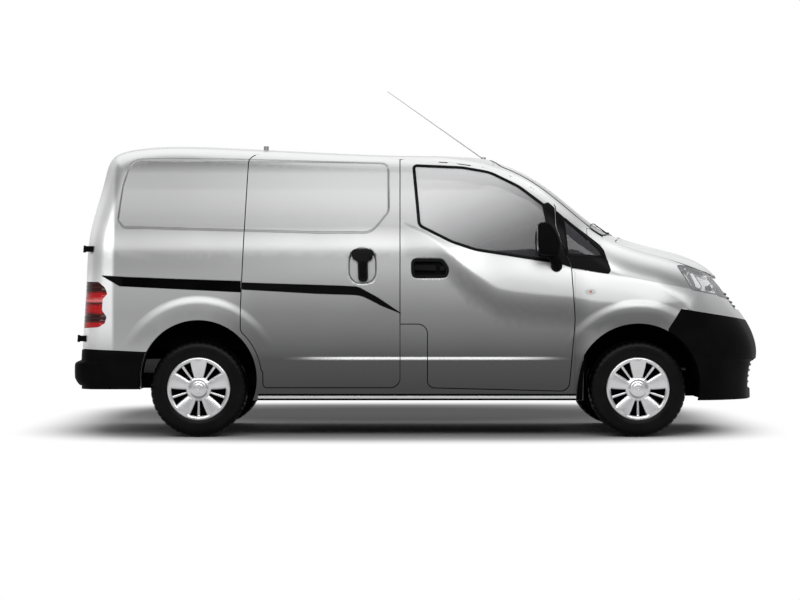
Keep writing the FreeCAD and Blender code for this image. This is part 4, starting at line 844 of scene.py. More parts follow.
def glass_loop(node, side):
    """Ordered points along the outer edge of a window glass, on one side of the van."""
    bm = bmesh.new()
    bm.from_mesh(frame["nodes"][node].data)
    bmesh.ops.remove_doubles(bm, verts=bm.verts, dist=2e-5)
    bm.normal_update()
    outer = []
    for face in bm.faces:
        middle = face.calc_center_median()
        if side and middle.y * side < 0:
            continue
        direction = Vector(form.sample(np.array([middle]))[1][0]).normalized()
        if face.normal.dot(direction) > 0.7:
            outer.append(face)
    chosen = set(outer)
    links = {}
    for face in outer:
        for edge in face.edges:
            if sum(other in chosen for other in edge.link_faces) == 1:
                one, two = edge.verts
                links.setdefault(one, []).append(two)
                links.setdefault(two, []).append(one)
    start = next(iter(links))
    loop, before = [start], None
    while True:
        ahead = [vert for vert in links[loop[-1]] if vert is not before]
        before = loop[-1]
        if ahead[0] is start or len(loop) > len(links):
            break
        loop.append(ahead[0])
    points = [vert.co.copy() for vert in loop]
    bm.free()
    return even_loop(points)


def even_loop(points, step=0.015):
    """Points spaced evenly along a closed line."""
    spots = np.array([*points, points[0]])
    along = np.r_[0.0, np.cumsum(np.linalg.norm(np.diff(spots, axis=0), axis=1))]
    count = max(12, int(along[-1] / step))
    at = np.linspace(0, along[-1], count, endpoint=False)
    return np.stack([np.interp(at, along, spots[:, axis]) for axis in range(3)], 1)


def seal_mesh(name, loop, section):
    """Band along a window's edge. The section lists steps off the edge and rises."""
    loop = form.onto(loop, 0.0)
    normals = unit(form.sample(loop)[1])
    along = unit(np.roll(loop, -1, axis=0) - np.roll(loop, 1, axis=0))
    across = np.cross(along, normals)
    middle = loop.mean(0)
    if ((loop - middle) * across).sum() < 0:
        across = -across
    rows = [loop + across * off + normals * rise for off, rise in section]
    return from_grid(name, rows, closed_rows=True, closed_columns=True)


def wrapped_panel(node, relief, detail, facing, coarse=0.055, fine=0.0075, reach=0.0115):
    """Copy of a CAD panel whose outer skin follows the body form and its relief exactly.
    The skin is divided until its edges are short where the relief bends."""
    skin_cosine, slack, probe = 0.75, 1.6, 0.002
    mesh = frame["nodes"][node].data.copy()
    bm = bmesh.new()
    bm.from_mesh(mesh)
    bmesh.ops.remove_doubles(bm, verts=bm.verts, dist=2e-5)
    bmesh.ops.dissolve_degenerate(bm, edges=bm.edges, dist=1e-6)
    bm.normal_update()
    middles = np.array([face.calc_center_median() for face in bm.faces])
    normals = np.array([face.normal for face in bm.faces])
    depth, direction = form.sample(middles)
    layer = bm.faces.layers.int.new("skin")
    bm.faces.ensure_lookup_table()
    outer = (np.abs(depth) < reach) & ((normals * unit(direction)).sum(1) > skin_cosine)
    for face, flag in zip(bm.faces, outer):
        face[layer] = int(flag)
    for _ in range(9):
        edges = [edge for edge in bm.edges if any(face[layer] for face in edge.link_faces)]
        ends = np.array([edge.verts[0].co[:] + edge.verts[1].co[:] for edge in edges])
        middle = (ends[:, :3] + ends[:, 3:]) / 2
        length = np.linalg.norm(ends[:, :3] - ends[:, 3:], axis=1)
        wanted = np.clip(detail(middle) * 0.7 + fine, fine, coarse)
        long = [edge for edge, flag in zip(edges, length > slack * wanted) if flag]
        if not long:
            break
        bmesh.ops.subdivide_edges(bm, edges=long, cuts=1, use_single_edge=True)
        wide = [face for face in bm.faces if len(face.verts) > 3]
        bmesh.ops.triangulate(bm, faces=wide, quad_method="BEAUTY")
    verts = sorted({vert for face in bm.faces if face[layer] for vert in face.verts},
                   key=lambda vert: vert.index)
    places = np.array([vert.co for vert in verts])
    kept = facing(form.sample(places)[1]) * shut_fade(places[:, 0], places[:, 2])
    rise = relief(places) * kept
    for vert, place in zip(verts, form.onto(places, rise)):
        vert.co = place
    flags = np.array([face[layer] for face in bm.faces], bool)
    bm.to_mesh(mesh)
    bm.free()
    mesh.shade_smooth()
    corners = np.empty(len(mesh.loops), int)
    mesh.loops.foreach_get("vertex_index", corners)
    spots = read_rows(mesh.vertices, "co")
    face_normals = read_rows(mesh.polygons, "normal")
    sizes = np.empty(len(mesh.polygons), int)
    mesh.polygons.foreach_get("loop_total", sizes)
    owner = np.repeat(np.arange(len(sizes)), sizes)
    on_skin = flags[owner]
    chosen = np.unique(corners[on_skin])
    base = spots[chosen]
    gradient = unit(form.sample(base)[1])
    share = facing(gradient)
    slope = np.zeros_like(gradient)
    for axis, step in enumerate(probe * np.eye(3)):
        slope[:, axis] = (relief(base + step) - relief(base - step)) / (2 * probe) * share
    slope -= gradient * (slope * gradient).sum(1)[:, None]
    direction = np.zeros((len(spots), 3))
    direction[chosen] = unit(gradient - slope)
    shown = np.where(on_skin[:, None], direction[corners], face_normals[owner])
    mesh.normals_split_custom_set(shown.tolist())
    return mesh


def moulded(node, voxel, rounds=8, factor=0.5, *steps):
    """Copy of a CAD piece with all its edges rounded, as a moulding has them."""
    return finished(node + "_moulded", frame["nodes"][node].data.copy(),
                    ("REMESH", {"mode": "VOXEL", "voxel_size": voxel, "use_smooth_shade": True}),
                    ("SMOOTH", {"iterations": rounds, "factor": factor}), *steps)


def sideways(direction):
    """How far a surface faces to the side: 1 on the flanks, 0 on the roof and the ends."""
    return ease((np.abs(unit(direction)[:, 1]) - 0.55) / 0.25)


def backwards(direction):
    """How far a surface faces to the back."""
    return ease((-unit(direction)[:, 0] - 0.55) / 0.25)


def everywhere(direction):
    return np.ones(len(direction))


# Settings

class PanelVanLook(bpy.types.PropertyGroup):
    """Colours of the van's finishes."""

    # Top of the painted shade by height: the silver painted lighter at roof height
    paint_high_painted_light: FloatVectorProperty(
        name="Upper paint", description="Silver of the panels at roof height", subtype="COLOR",
        size=3, min=0.0, max=1.0, default=(0.62, 0.62, 0.62))
    # Middle of the painted shade by height, at waist height
    paint_middle_painted_shade: FloatVectorProperty(
        name="Middle paint", description="Silver of the panels at waist height", subtype="COLOR",
        size=3, min=0.0, max=1.0, default=(0.33, 0.33, 0.33))
    # Bottom of the painted shade by height: the silver painted darker at the sills
    paint_low_painted_shade: FloatVectorProperty(
        name="Lower paint", description="Silver of the panels at the sills", subtype="COLOR",
        size=3, min=0.0, max=1.0, default=(0.040, 0.040, 0.040))
    paint_metal: FloatProperty(
        name="Metal share", description="How metallic the lacquer is", subtype="FACTOR",
        min=0.0, max=1.0, default=0.70)
    # Strength of the painted light and shade by how a surface leans
    flip: FloatProperty(
        name="Flip", description="How much the lacquer's tone follows the way a surface leans",
        min=0.0, max=6.0, default=3.4)
    plastic: FloatVectorProperty(
        name="Black plastic", description="Colour of bumpers and trim", subtype="COLOR",
        size=3, min=0.0, max=1.0, default=(0.0016, 0.0016, 0.0017))
    glass_alpha: FloatProperty(
        name="Glass cover", description="How much of what lies behind the glass it hides",
        subtype="FACTOR", min=0.0, max=1.0, default=0.62)


class PanelVanWheels(bpy.types.PropertyGroup):
    """Shape of the tyres and the wheel covers."""

    sectors: IntProperty(name="Spokes", description="Number of broad spokes of a cover",
                         min=3, max=9, default=5)
    rib: FloatProperty(name="Rib", description="Half width of the rib between two slots",
                       unit="ROTATION", default=math.radians(3.0))
    slot: FloatProperty(name="Slot", description="Angle that one slot spans at its outer end",
                        unit="ROTATION", default=math.radians(15.5))
    slot_start: FloatProperty(name="Slot start", description="Radius where the slots begin",
                              unit="LENGTH", default=0.078)
    slot_stop: FloatProperty(name="Slot end", description="Radius where the slots end",
                             unit="LENGTH", default=0.172)
    groove: FloatProperty(name="Groove", description="Depth of the tread's grooves",
                          unit="LENGTH", default=0.007)


class PanelVanStage(bpy.types.PropertyGroup):
    """Camera and light of the studio."""

    camera_place: FloatVectorProperty(
        name="Camera place", description="Where the camera stands", subtype="TRANSLATION",
        unit="LENGTH", size=3, default=(-0.122, -14.835, 0.851))
    camera_lens: FloatProperty(
        name="Lens", description="Focal length on a 36 mm sensor", unit="CAMERA", default=101.73)
    overhead_power: FloatProperty(
        name="Overhead light", description="Power of the softbox above the van", unit="POWER",
        default=90.0)
    front_power: FloatProperty(
        name="Side light", description="Power of the softbox beside the camera", unit="POWER",
        default=700.0)
    sky: FloatProperty(
        name="Room light", description="Brightness of the room around the van", min=0.0,
        max=2.0, default=0.60)
    floor: FloatVectorProperty(
        name="Floor", description="Colour of the studio floor", subtype="COLOR", size=3,
        min=0.0, max=1.0, default=(0.46, 0.46, 0.46))


# Operators

class VanStageOperator(bpy.types.Operator):
    """Set up the studio: camera, floor, room and soft lights"""

    bl_idname = "panel_van.stage"
    bl_label = "Studio"

    def execute(self, context):
        stage = context.scene.panel_van_stage
        scene = context.scene
        scene.view_settings.view_transform = "Standard"
        data = bpy.data.cameras.new("studio_camera")
        data.lens, data.sensor_width = stage.camera_lens, 36.0
        data.clip_end = 200.0
        camera = bpy.data.objects.new("studio_camera", data)
        camera.location = stage.camera_place
        camera.rotation_euler = (math.radians(90), 0, 0)
        scene.collection.objects.link(camera)
        scene.camera = camera
        self.room(scene, stage)
        self.floor(stage)
        self.softbox("overhead", (0.0, 0.3, 5.2), (0, 0, 0), (9.0, 4.5), stage.overhead_power)
        self.softbox("beside_camera", (0.0, -11.0, 6.0), (math.radians(62), 0, 0), (12.0, 4.0),
                     stage.front_power)
        return {"FINISHED"}

    def background_rays(self, finish):
        """1 for the rays that see the background: from the camera, off gloss and through glass."""
        path = finish.tree.nodes.new("ShaderNodeLightPath")
        rays = [Shade(finish, path.outputs[name]) for name in
                ("Is Camera Ray", "Is Glossy Ray", "Is Transmission Ray")]
        return rays[0].largest(rays[1]).largest(rays[2])

    def room(self, scene, stage):
        """White behind the van, and a dimmer room with a light upper half before it."""
        world = bpy.data.worlds.new("studio_room")
        world.use_nodes = True
        scene.world = world
        finish = Finish("studio_room", world.node_tree)
        _, y, z = finish.axes(finish.node("TexCoord", output="Generated"))
        sky = finish.ramp(0.5 * z + 0.5, 0.20, [(0.50, (0.42, 0.42, 0.43)), (0.58, (0.60, 0.60, 0.61)),
                                                (0.72, 1.0), (1.0, 0.9)])
        behind = y.eased(-0.15, 0.05) * self.background_rays(finish)
        room = finish.node("Background", None, {"Color": sky, "Strength": stage.sky})
        white = finish.node("Background", None, {"Color": rgba(1.0), "Strength": 1.0})
        both = finish.node("MixShader", None, {0: behind, 1: room, 2: white})
        finish.node("OutputWorld", None, {"Surface": both})

    def floor(self, stage):
        """Pale floor that keeps the van's shadow, carries a painted shadow behind the van and turns to
        the white of the room.
        """
        reach, shadow_tone = 60.0, 0.16
        mesh = bpy.data.meshes.new("studio_floor")
        mesh.from_pydata([(-reach, -reach, 0), (reach, -reach, 0), (reach, reach, 0),
                          (-reach, reach, 0)], [], [(0, 1, 2, 3)])
        finish = Finish("studio_floor")
        x, y, _ = finish.axes()
        # Distance from the van's shadow, 1 along a rounded rectangle around it
        along, aside = (x + 0.12) / 1.95, (y - 1.25) / 2.15
        along, aside = along * along, aside * aside
        away = (along * along + aside * aside).power(0.25)
        cloud = finish.noise(0.4, 2.0)
        # Painted shadow: the floor's colour is darker behind the van, darkest in the middle of an
        # ellipse
        wide, deep = (x + 0.17) / 2.3, (y - 2.1) / 1.3
        painted_shadow_mask = (wide * wide + deep * deep).power(0.5).eased(0.55, 1.45, 1.0, 0.0)
        shade = finish.mix(painted_shadow_mask, rgba(stage.floor), rgba(shadow_tone))
        matte = finish.node("BsdfDiffuse", None, {"Color": shade})
        white = finish.node("Emission", None, {"Color": rgba(1.0), "Strength": 1.0})
        share = (away + 0.06 * cloud).eased(1.03, 1.36) * self.background_rays(finish)
        both = finish.node("MixShader", None, {0: share, 1: matte, 2: white})
        finish.node("OutputMaterial", None, {"Surface": both})
        mesh.materials.append(finish.material)
        floor = bpy.data.objects.new("studio_floor", mesh)
        bpy.context.scene.collection.objects.link(floor)

    def softbox(self, name, place, turn, size, power):
        """Broad rectangular lamp."""
        data = bpy.data.lights.new(name, "AREA")
        data.shape, data.size, data.size_y, data.energy = "RECTANGLE", size[0], size[1], power
        lamp = bpy.data.objects.new(name, data)
        lamp.location, lamp.rotation_euler = place, turn
        bpy.context.scene.collection.objects.link(lamp)


class VanFinishOperator(bpy.types.Operator):
    """Make the finishes and give every CAD node its own"""

    bl_idname = "panel_van.finishes"
    bl_label = "Finishes"

    NODE_FINISH = {"dashboard": "dash", "cab_partition": "dash", "steering_wheel": "trim",
                   "antenna": "steel", "rear_hinges": "plastic", "knuckle_left": "under",
                   "knuckle_right": "under"}

    def execute(self, context):
        look = context.scene.panel_van_look
        finishes["paint"] = paint_finish(look)
        for key, name, color, roughness, grain, depth, gloss in (
                ("plastic", "black_plastic", look.plastic, 0.50, 420.0, 0.00025, 0.03),
                ("trim", "black_trim", (0.0014, 0.0014, 0.0014), 0.30, 700.0, 0.0001, 0.07),
                ("dash", "dash_plastic", (0.028, 0.028, 0.030), 0.62, 260.0, 0.0004, 0.10),
                ("under", "underseal", (0.0012, 0.0012, 0.0012), 0.80, 120.0, 0.0008, 0.02)):
            finishes[key] = grained_finish(name, color, roughness, grain, depth, gloss)
        finishes["glass"] = glass_finish(look)
        finishes["tyre"] = tyre_finish()
        for key, name, color, roughness, metal in (
                ("cover", "wheel_cover_silver", (0.55, 0.55, 0.56), 0.24, 0.95),
                ("steel", "bare_steel", (0.35, 0.35, 0.36), 0.38, 0.9),
                ("chrome", "lamp_chrome", (0.60, 0.60, 0.62), 0.10, 1.0),
                ("mirror", "mirror_glass", (0.70, 0.71, 0.72), 0.03, 1.0),
                ("cast", "cast_metal", (0.18, 0.18, 0.19), 0.55, 0.6)):
            finishes[key] = alloy_finish(name, color, roughness, metal)
        finishes["red"] = tail_finish()
        finishes["amber"] = lamp_finish("amber_lamp", (0.45, 0.08, 0.005), (0.80, 0.22, 0.01), 60.0)
        finishes["clear"] = lamp_finish("clear_lamp", (0.72, 0.73, 0.75), (0.92, 0.93, 0.95), 40.0,
                                        0.25)
        finishes["cloth"] = cloth_finish("seat_cloth", (0.030, 0.032, 0.037))
        by_slot = {"body_paint": "paint", "black_plastic": "plastic", "window_glass": "glass",
                   "lamp_glass": "clear", "lamp_plastic": "red", "chassis_steel": "under",
                   "cast_block": "cast", "soft_plastic": "dash", "seat_fabric": "cloth",
                   "tyre_rubber": "tyre", "wheel_silver": "cover"}
        for part in frame["record"]["subparts"]:
            data = frame["nodes"][part["node"]].data
            finish = self.NODE_FINISH.get(part["node"], by_slot[part["material_slot"]])
            data.materials.clear()
            data.materials.append(finishes[finish])
        return {"FINISHED"}


class VanPanelsOperator(bpy.types.Operator):
    """Wrap the outer panels over the body form, with creases, flares and pressings"""

    bl_idname = "panel_van.panels"
    bl_label = "Body panels"

    FLANKS = ("body_side", "front_door", "sliding_door", "front_wing")
    PLAIN = ("roof_panel", "cowl_panel", "headlamps")
    REAR = (("rear_door_left", 1.0), ("rear_door_right", -1.0))
    BUMPER_EDGE = ((1.629, 0.795), (1.994, 0.740))

    def execute(self, context):
        for part in self.FLANKS:
            for side, _ in SIDES:
                node = part + "_" + side
                mesh = wrapped_panel(node, lambda p: side_relief(p[:, 0], p[:, 2]),
                                     lambda p: side_detail(p[:, 0], p[:, 2]), sideways)
                add_piece(node + "_skin", mesh, body_of(node), "paint", (node,))
        for node in self.PLAIN:
            mesh = wrapped_panel(node, lambda p: np.zeros(len(p)), lambda p: np.full(len(p), 0.2),
                                 everywhere)
            finish = "clear" if node == "headlamps" else "paint"
            add_piece(node + "_skin", mesh, body_of(node), finish, (node,))
        self.bonnet()
        self.rear_doors()
        self.front_bumper()
        return {"FINISHED"}

    def bonnet(self):
        """Raised centre between two creases that run forward and draw together."""
        back, front, back_half, narrowing = 1.25, 2.00, 0.50, 0.30

        def crease(p):
            share = ease((p[:, 0] - back) / (front - back))
            return np.abs(p[:, 1]) - (back_half - narrowing * share)

        mesh = wrapped_panel("bonnet", lambda p: 0.008 * (1 - ease(crease(p) / 0.035 + 0.5)),
                             lambda p: np.abs(crease(p)) - 0.02, everywhere)
        add_piece("bonnet_skin", mesh, body_of("bonnet"), "paint", ("bonnet",))

    def rear_doors(self):
        """Pressed upper panel and a recess for the number plate, seen from the back."""
        upper = {1.0: ((-0.085, 1.62, 0.05), (0.50, 1.60, 0.09), (0.60, 1.25, 0.08),
                       (-0.085, 1.25, 0.05)),
                 -1.0: ((-0.175, 1.62, 0.05), (-0.50, 1.60, 0.09), (-0.60, 1.25, 0.08),
                        (-0.175, 1.25, 0.05))}
        plate = ((-0.06, 0.98, 0.02), (0.50, 0.98, 0.02), (0.50, 0.84, 0.02), (-0.06, 0.84, 0.02))
        for node, side in self.REAR:
            features = [Pressing(upper[side], 0.007, 0.016)]
            if side > 0:
                features.append(Pressing(plate, 0.012, 0.018))

            def relief(p, features=features):
                return sum(feature.rise(p[:, 1], p[:, 2]) for feature in features)

            def detail(p, features=features):
                return np.minimum.reduce([item.detail(p[:, 1], p[:, 2]) for item in features])

            mesh = wrapped_panel(node, relief, detail, backwards)
            add_piece(node + "_skin", mesh, body_of(node), "paint", (node,))

    def front_bumper(self):
        """Painted upper half and black lower half, parted along one slanted line."""
        intake = Pressing(((-0.52, 0.455, 0.03), (0.52, 0.455, 0.03), (0.46, 0.290, 0.04),
                           (-0.46, 0.290, 0.04)), 0.030, 0.020)
        start, stop = self.BUMPER_EDGE
        run, ridge_z = stop[0] - start[0], 0.470

        def below(p):
            edge = start[1] + (p[:, 0] - start[0]) * (stop[1] - start[1]) / run
            return p[:, 2] - edge

        def relief(p):
            front = ease((p[:, 0] - 1.85) / 0.15)
            rise = intake.rise(p[:, 1], p[:, 2]) * front
            ridge = -0.012 * (1 - ease((p[:, 2] - ridge_z) / 0.008))
            flank = side_relief(p[:, 0], p[:, 2]) * sideways(form.sample(p)[1])
            return rise + ridge * front + flank - 0.0015 * ease(below(p) / 0.004 + 0.5)

        def detail(p):
            ridge = np.abs(p[:, 2] - ridge_z - 0.004) - 0.006
            near = np.minimum(intake.detail(p[:, 1], p[:, 2]), ridge)
            return np.minimum(near, np.abs(below(p)) - 0.004)

        mesh = wrapped_panel("front_bumper", relief, detail, everywhere)
        slope = Vector((stop[1] - start[1], 0.0, -run)).normalized()
        halves = (("front_bumper_upper", "paint", -1), ("front_bumper_lower", "plastic", 1))
        for name, finish, keep in halves:
            half = mesh.copy()
            cut_off(half, (start[0], 0, start[1]), slope * keep)
            add_piece(name, half, "root", finish, ("front_bumper",))


class VanWheelsOperator(bpy.types.Operator):
    """Build the treaded tyres, steel rims and slotted silver covers"""

    bl_idname = "panel_van.wheels"
    bl_label = "Wheels"

    SEGMENTS = 180
    FACE = 0.0735
    HUB = (0.012, 0.012, 0.0112, 0.0096, 0.0088, 0.0092, 0.0080, 0.002, -0.002, -0.003)
    LIP = (0.0060, 0.0072, 0.0040, -0.0010)
    TREAD = ((0.0470, 0.3000), (0.0455, 0.3000), (0.0300, 0.2998), (0.0295, 0.2935),
             (0.0225, 0.2935), (0.0220, 0.2999), (0.0035, 0.3000), (0.0030, 0.2937))
    SIDE = ((0.0600, 0.2975), (0.0715, 0.2940), (0.0790, 0.2860), (0.0835, 0.2760),
            (0.0860, 0.2640), (0.0872, 0.2500), (0.0870, 0.2380), (0.0852, 0.2365),
            (0.0850, 0.2240), (0.0838, 0.2120), (0.0812, 0.2020), (0.0790, 0.2010),
            (0.0765, 0.1935), (0.0720, 0.1900))

    def execute(self, context):
        shape = context.scene.panel_van_wheels
        for corner in ("front_left", "front_right", "rear_left", "rear_right"):
            side = 1.0 if corner.endswith("left") else -1.0
            wheel, tyre = "wheel_" + corner, "tyre_" + corner
            low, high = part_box(tyre)
            hub = (Vector(low) + Vector(high)) / 2
            body = body_of(wheel)
            pieces = [
                add_piece(tyre + "_tread", self.tyre(shape), body, "tyre", (tyre,)),
                add_piece(wheel + "_cover", self.cover(shape, side), body, "cover", (wheel,)),
                add_piece(wheel + "_rim", self.rim(side), body, "under", (wheel,))]
            for piece in pieces:
                piece.data.transform(Matrix.Translation(hub))
        return {"FINISHED"}

    def tyre(self, shape):
        """Turned tyre whose tread is cut by grooves around it and notches across it."""
        outer = [(a, r) for a, r in self.SIDE[::-1]] + list(self.TREAD)
        rows = outer + [(-a, r) for a, r in outer[::-1]]
        shoulder = {index for index, (a, r) in enumerate(rows) if 0.044 < abs(a) < 0.0795 and r > 0.28}
        blocks = {index for index, (a, r) in enumerate(rows) if abs(a) < 0.031 and r > 0.299}

        def notch(index, step):
            if index in shoulder and step % 4 == 0:
                return shape.groove * 0.8
            return 0.003 if index in blocks and step % 6 == 3 else 0.0

        mesh = lathe("tyre", rows, self.SEGMENTS, 1.0, notch)
        mesh.flip_normals()
        mesh.set_sharp_from_angle(angle=math.radians(35))
        return mesh

    def rim(self, side):
        """Turned steel rim with its disc, behind the cover."""
        rows = ((0.0765, 0.1895), (0.0700, 0.1880), (0.0620, 0.1760), (0.0300, 0.1720),
                (0.0260, 0.1600), (0.0330, 0.1100), (0.0430, 0.0700), (0.0470, 0.0300),
                (0.0470, 0.0005), (0.0200, 0.0005), (0.0150, 0.0700), (0.0080, 0.1600),
                (-0.0550, 0.1740), (-0.0700, 0.1860), (-0.0735, 0.1890), (-0.0735, 0.1870),
                (-0.0500, 0.1700), (0.0000, 0.1680))
        return lathe("rim", rows, 72, side)

    def cover(self, shape, side):
        """Dish of broad spokes, two slots in each gap with a rib between, hub and lip."""
        sector = 2 * math.pi / shape.sectors
        radii = (0.0005, 0.014, 0.026, 0.031, 0.034, 0.040, 0.047, 0.053, 0.060, 0.070,
                 shape.slot_start, shape.slot_start + 0.006, 0.104, 0.125, 0.146,
                 shape.slot_stop - 0.006, shape.slot_stop, 0.173, 0.180, 0.188, 0.192, 0.1955)
        first, last = radii.index(shape.slot_start), radii.index(shape.slot_stop)
        grid, gaps = [], set()
        for row, radius in enumerate(radii):
            reach = min(1.0, max(0.0, (radius - shape.slot_start)
                                 / (shape.slot_stop - shape.slot_start)))
            slot = shape.slot * (0.72 + 0.28 * reach)
            stop = sector / 2 - shape.rib * (1.35 - 0.35 * reach)
            start = stop - slot
            columns = (0.0, 0.35 * start, 0.7 * start, start - 0.035, start, start + 0.25 * slot,
                       stop - 0.25 * slot, stop, sector / 2)
            half = len(columns) - 1
            ring = []
            for number in range(shape.sectors):
                for column in range(2 * half):
                    index = column if column <= half else 2 * half - column
                    turn = columns[index] if column <= half else sector - columns[index]
                    angle = math.pi / 2 + number * sector + turn
                    crown = math.cos(0.5 * math.pi * min(1.0, columns[index] / max(start, 0.01)))
                    rise = -0.005 + 0.0075 * reach + 0.0045 * crown
                    if row < len(self.HUB):
                        rise = self.HUB[row]
                    if first <= row <= last and index in (4, 5, 6, 7):
                        rise -= 0.0045
                    if index == 8 and first < row < last:
                        rise -= 0.0035
                    if row >= len(radii) - len(self.LIP):
                        rise = self.LIP[row - len(radii)]
                    ring.append((radius * math.cos(angle), side * (self.FACE + rise),
                                 radius * math.sin(angle)))
                    if first <= row < last and 4 <= (column if column < half
                                                     else 2 * half - 1 - column) <= 6:
                        gaps.add((row, number * 2 * half + column))
            grid.append(ring)
        mesh = from_grid("cover", grid, closed_columns=True, gaps=gaps)
        if side > 0:
            mesh.flip_normals()
        return finished("cover", mesh, ("SOLIDIFY", {"thickness": 0.0045, "offset": -1.0}),
                        subdivided())


class VanGlazingOperator(bpy.types.Operator):
    """Seal the windows in rubber and set the black frames around the front ones"""

    bl_idname = "panel_van.glazing"
    bl_label = "Window seals and frames"

    SEAL = ((-0.012, -0.006), (-0.012, -0.001), (-0.008, 0.0022), (0.002, 0.0030),
            (0.0065, 0.0018), (0.0080, -0.001), (0.0080, -0.006))

    def execute(self, context):
        for name, side in SIDES:
            for node, part in (("door_glass_" + name, side), ("quarter_glasses", side)):
                mesh = seal_mesh(node + "_seal", glass_loop(node, part), self.SEAL)
                body = body_of(node)
                add_piece("%s_seal_%s" % (node, name), mesh, body, "trim")
            loop = glass_loop("quarter_glasses", side)
            hole = offset_outline([(point[0], point[2]) for point in loop], 0.002)
            add_plate("quarter_frame_" + name, rounded_outline(QUARTER_FRAME), side, TRIM_RISES,
                      "root", "trim", (hole,))
            add_plate("door_frame_" + name, rounded_outline(DOOR_FRAME), side, TRIM_RISES,
                      body_of("front_door_" + name), "trim")
            self.pillar_foot(name, side)
        screen = seal_mesh("windscreen_seal", glass_loop("windscreen", 0.0), self.SEAL)
        add_piece("windscreen_seal", screen, "root", "trim")
        return {"FINISHED"}

    def pillar_foot(self, name, side):
        """Painted closing plate between the pillar, the wing and the windscreen's lower corner."""
        rows = []
        for x in np.linspace(1.044, 1.146, 9):
            y = side * np.linspace(0.700, 0.796, 9)
            starts = np.stack([np.full(9, x), y, np.full(9, 0.9)], 1)
            rows.append(form.cast(starts, (0, 0, 1), -0.0022, 1.0))
        mesh = finished("pillar_foot", from_grid("pillar_foot", rows), thickened(0.0012))
        add_piece("pillar_foot_" + name, mesh, "root", "paint")


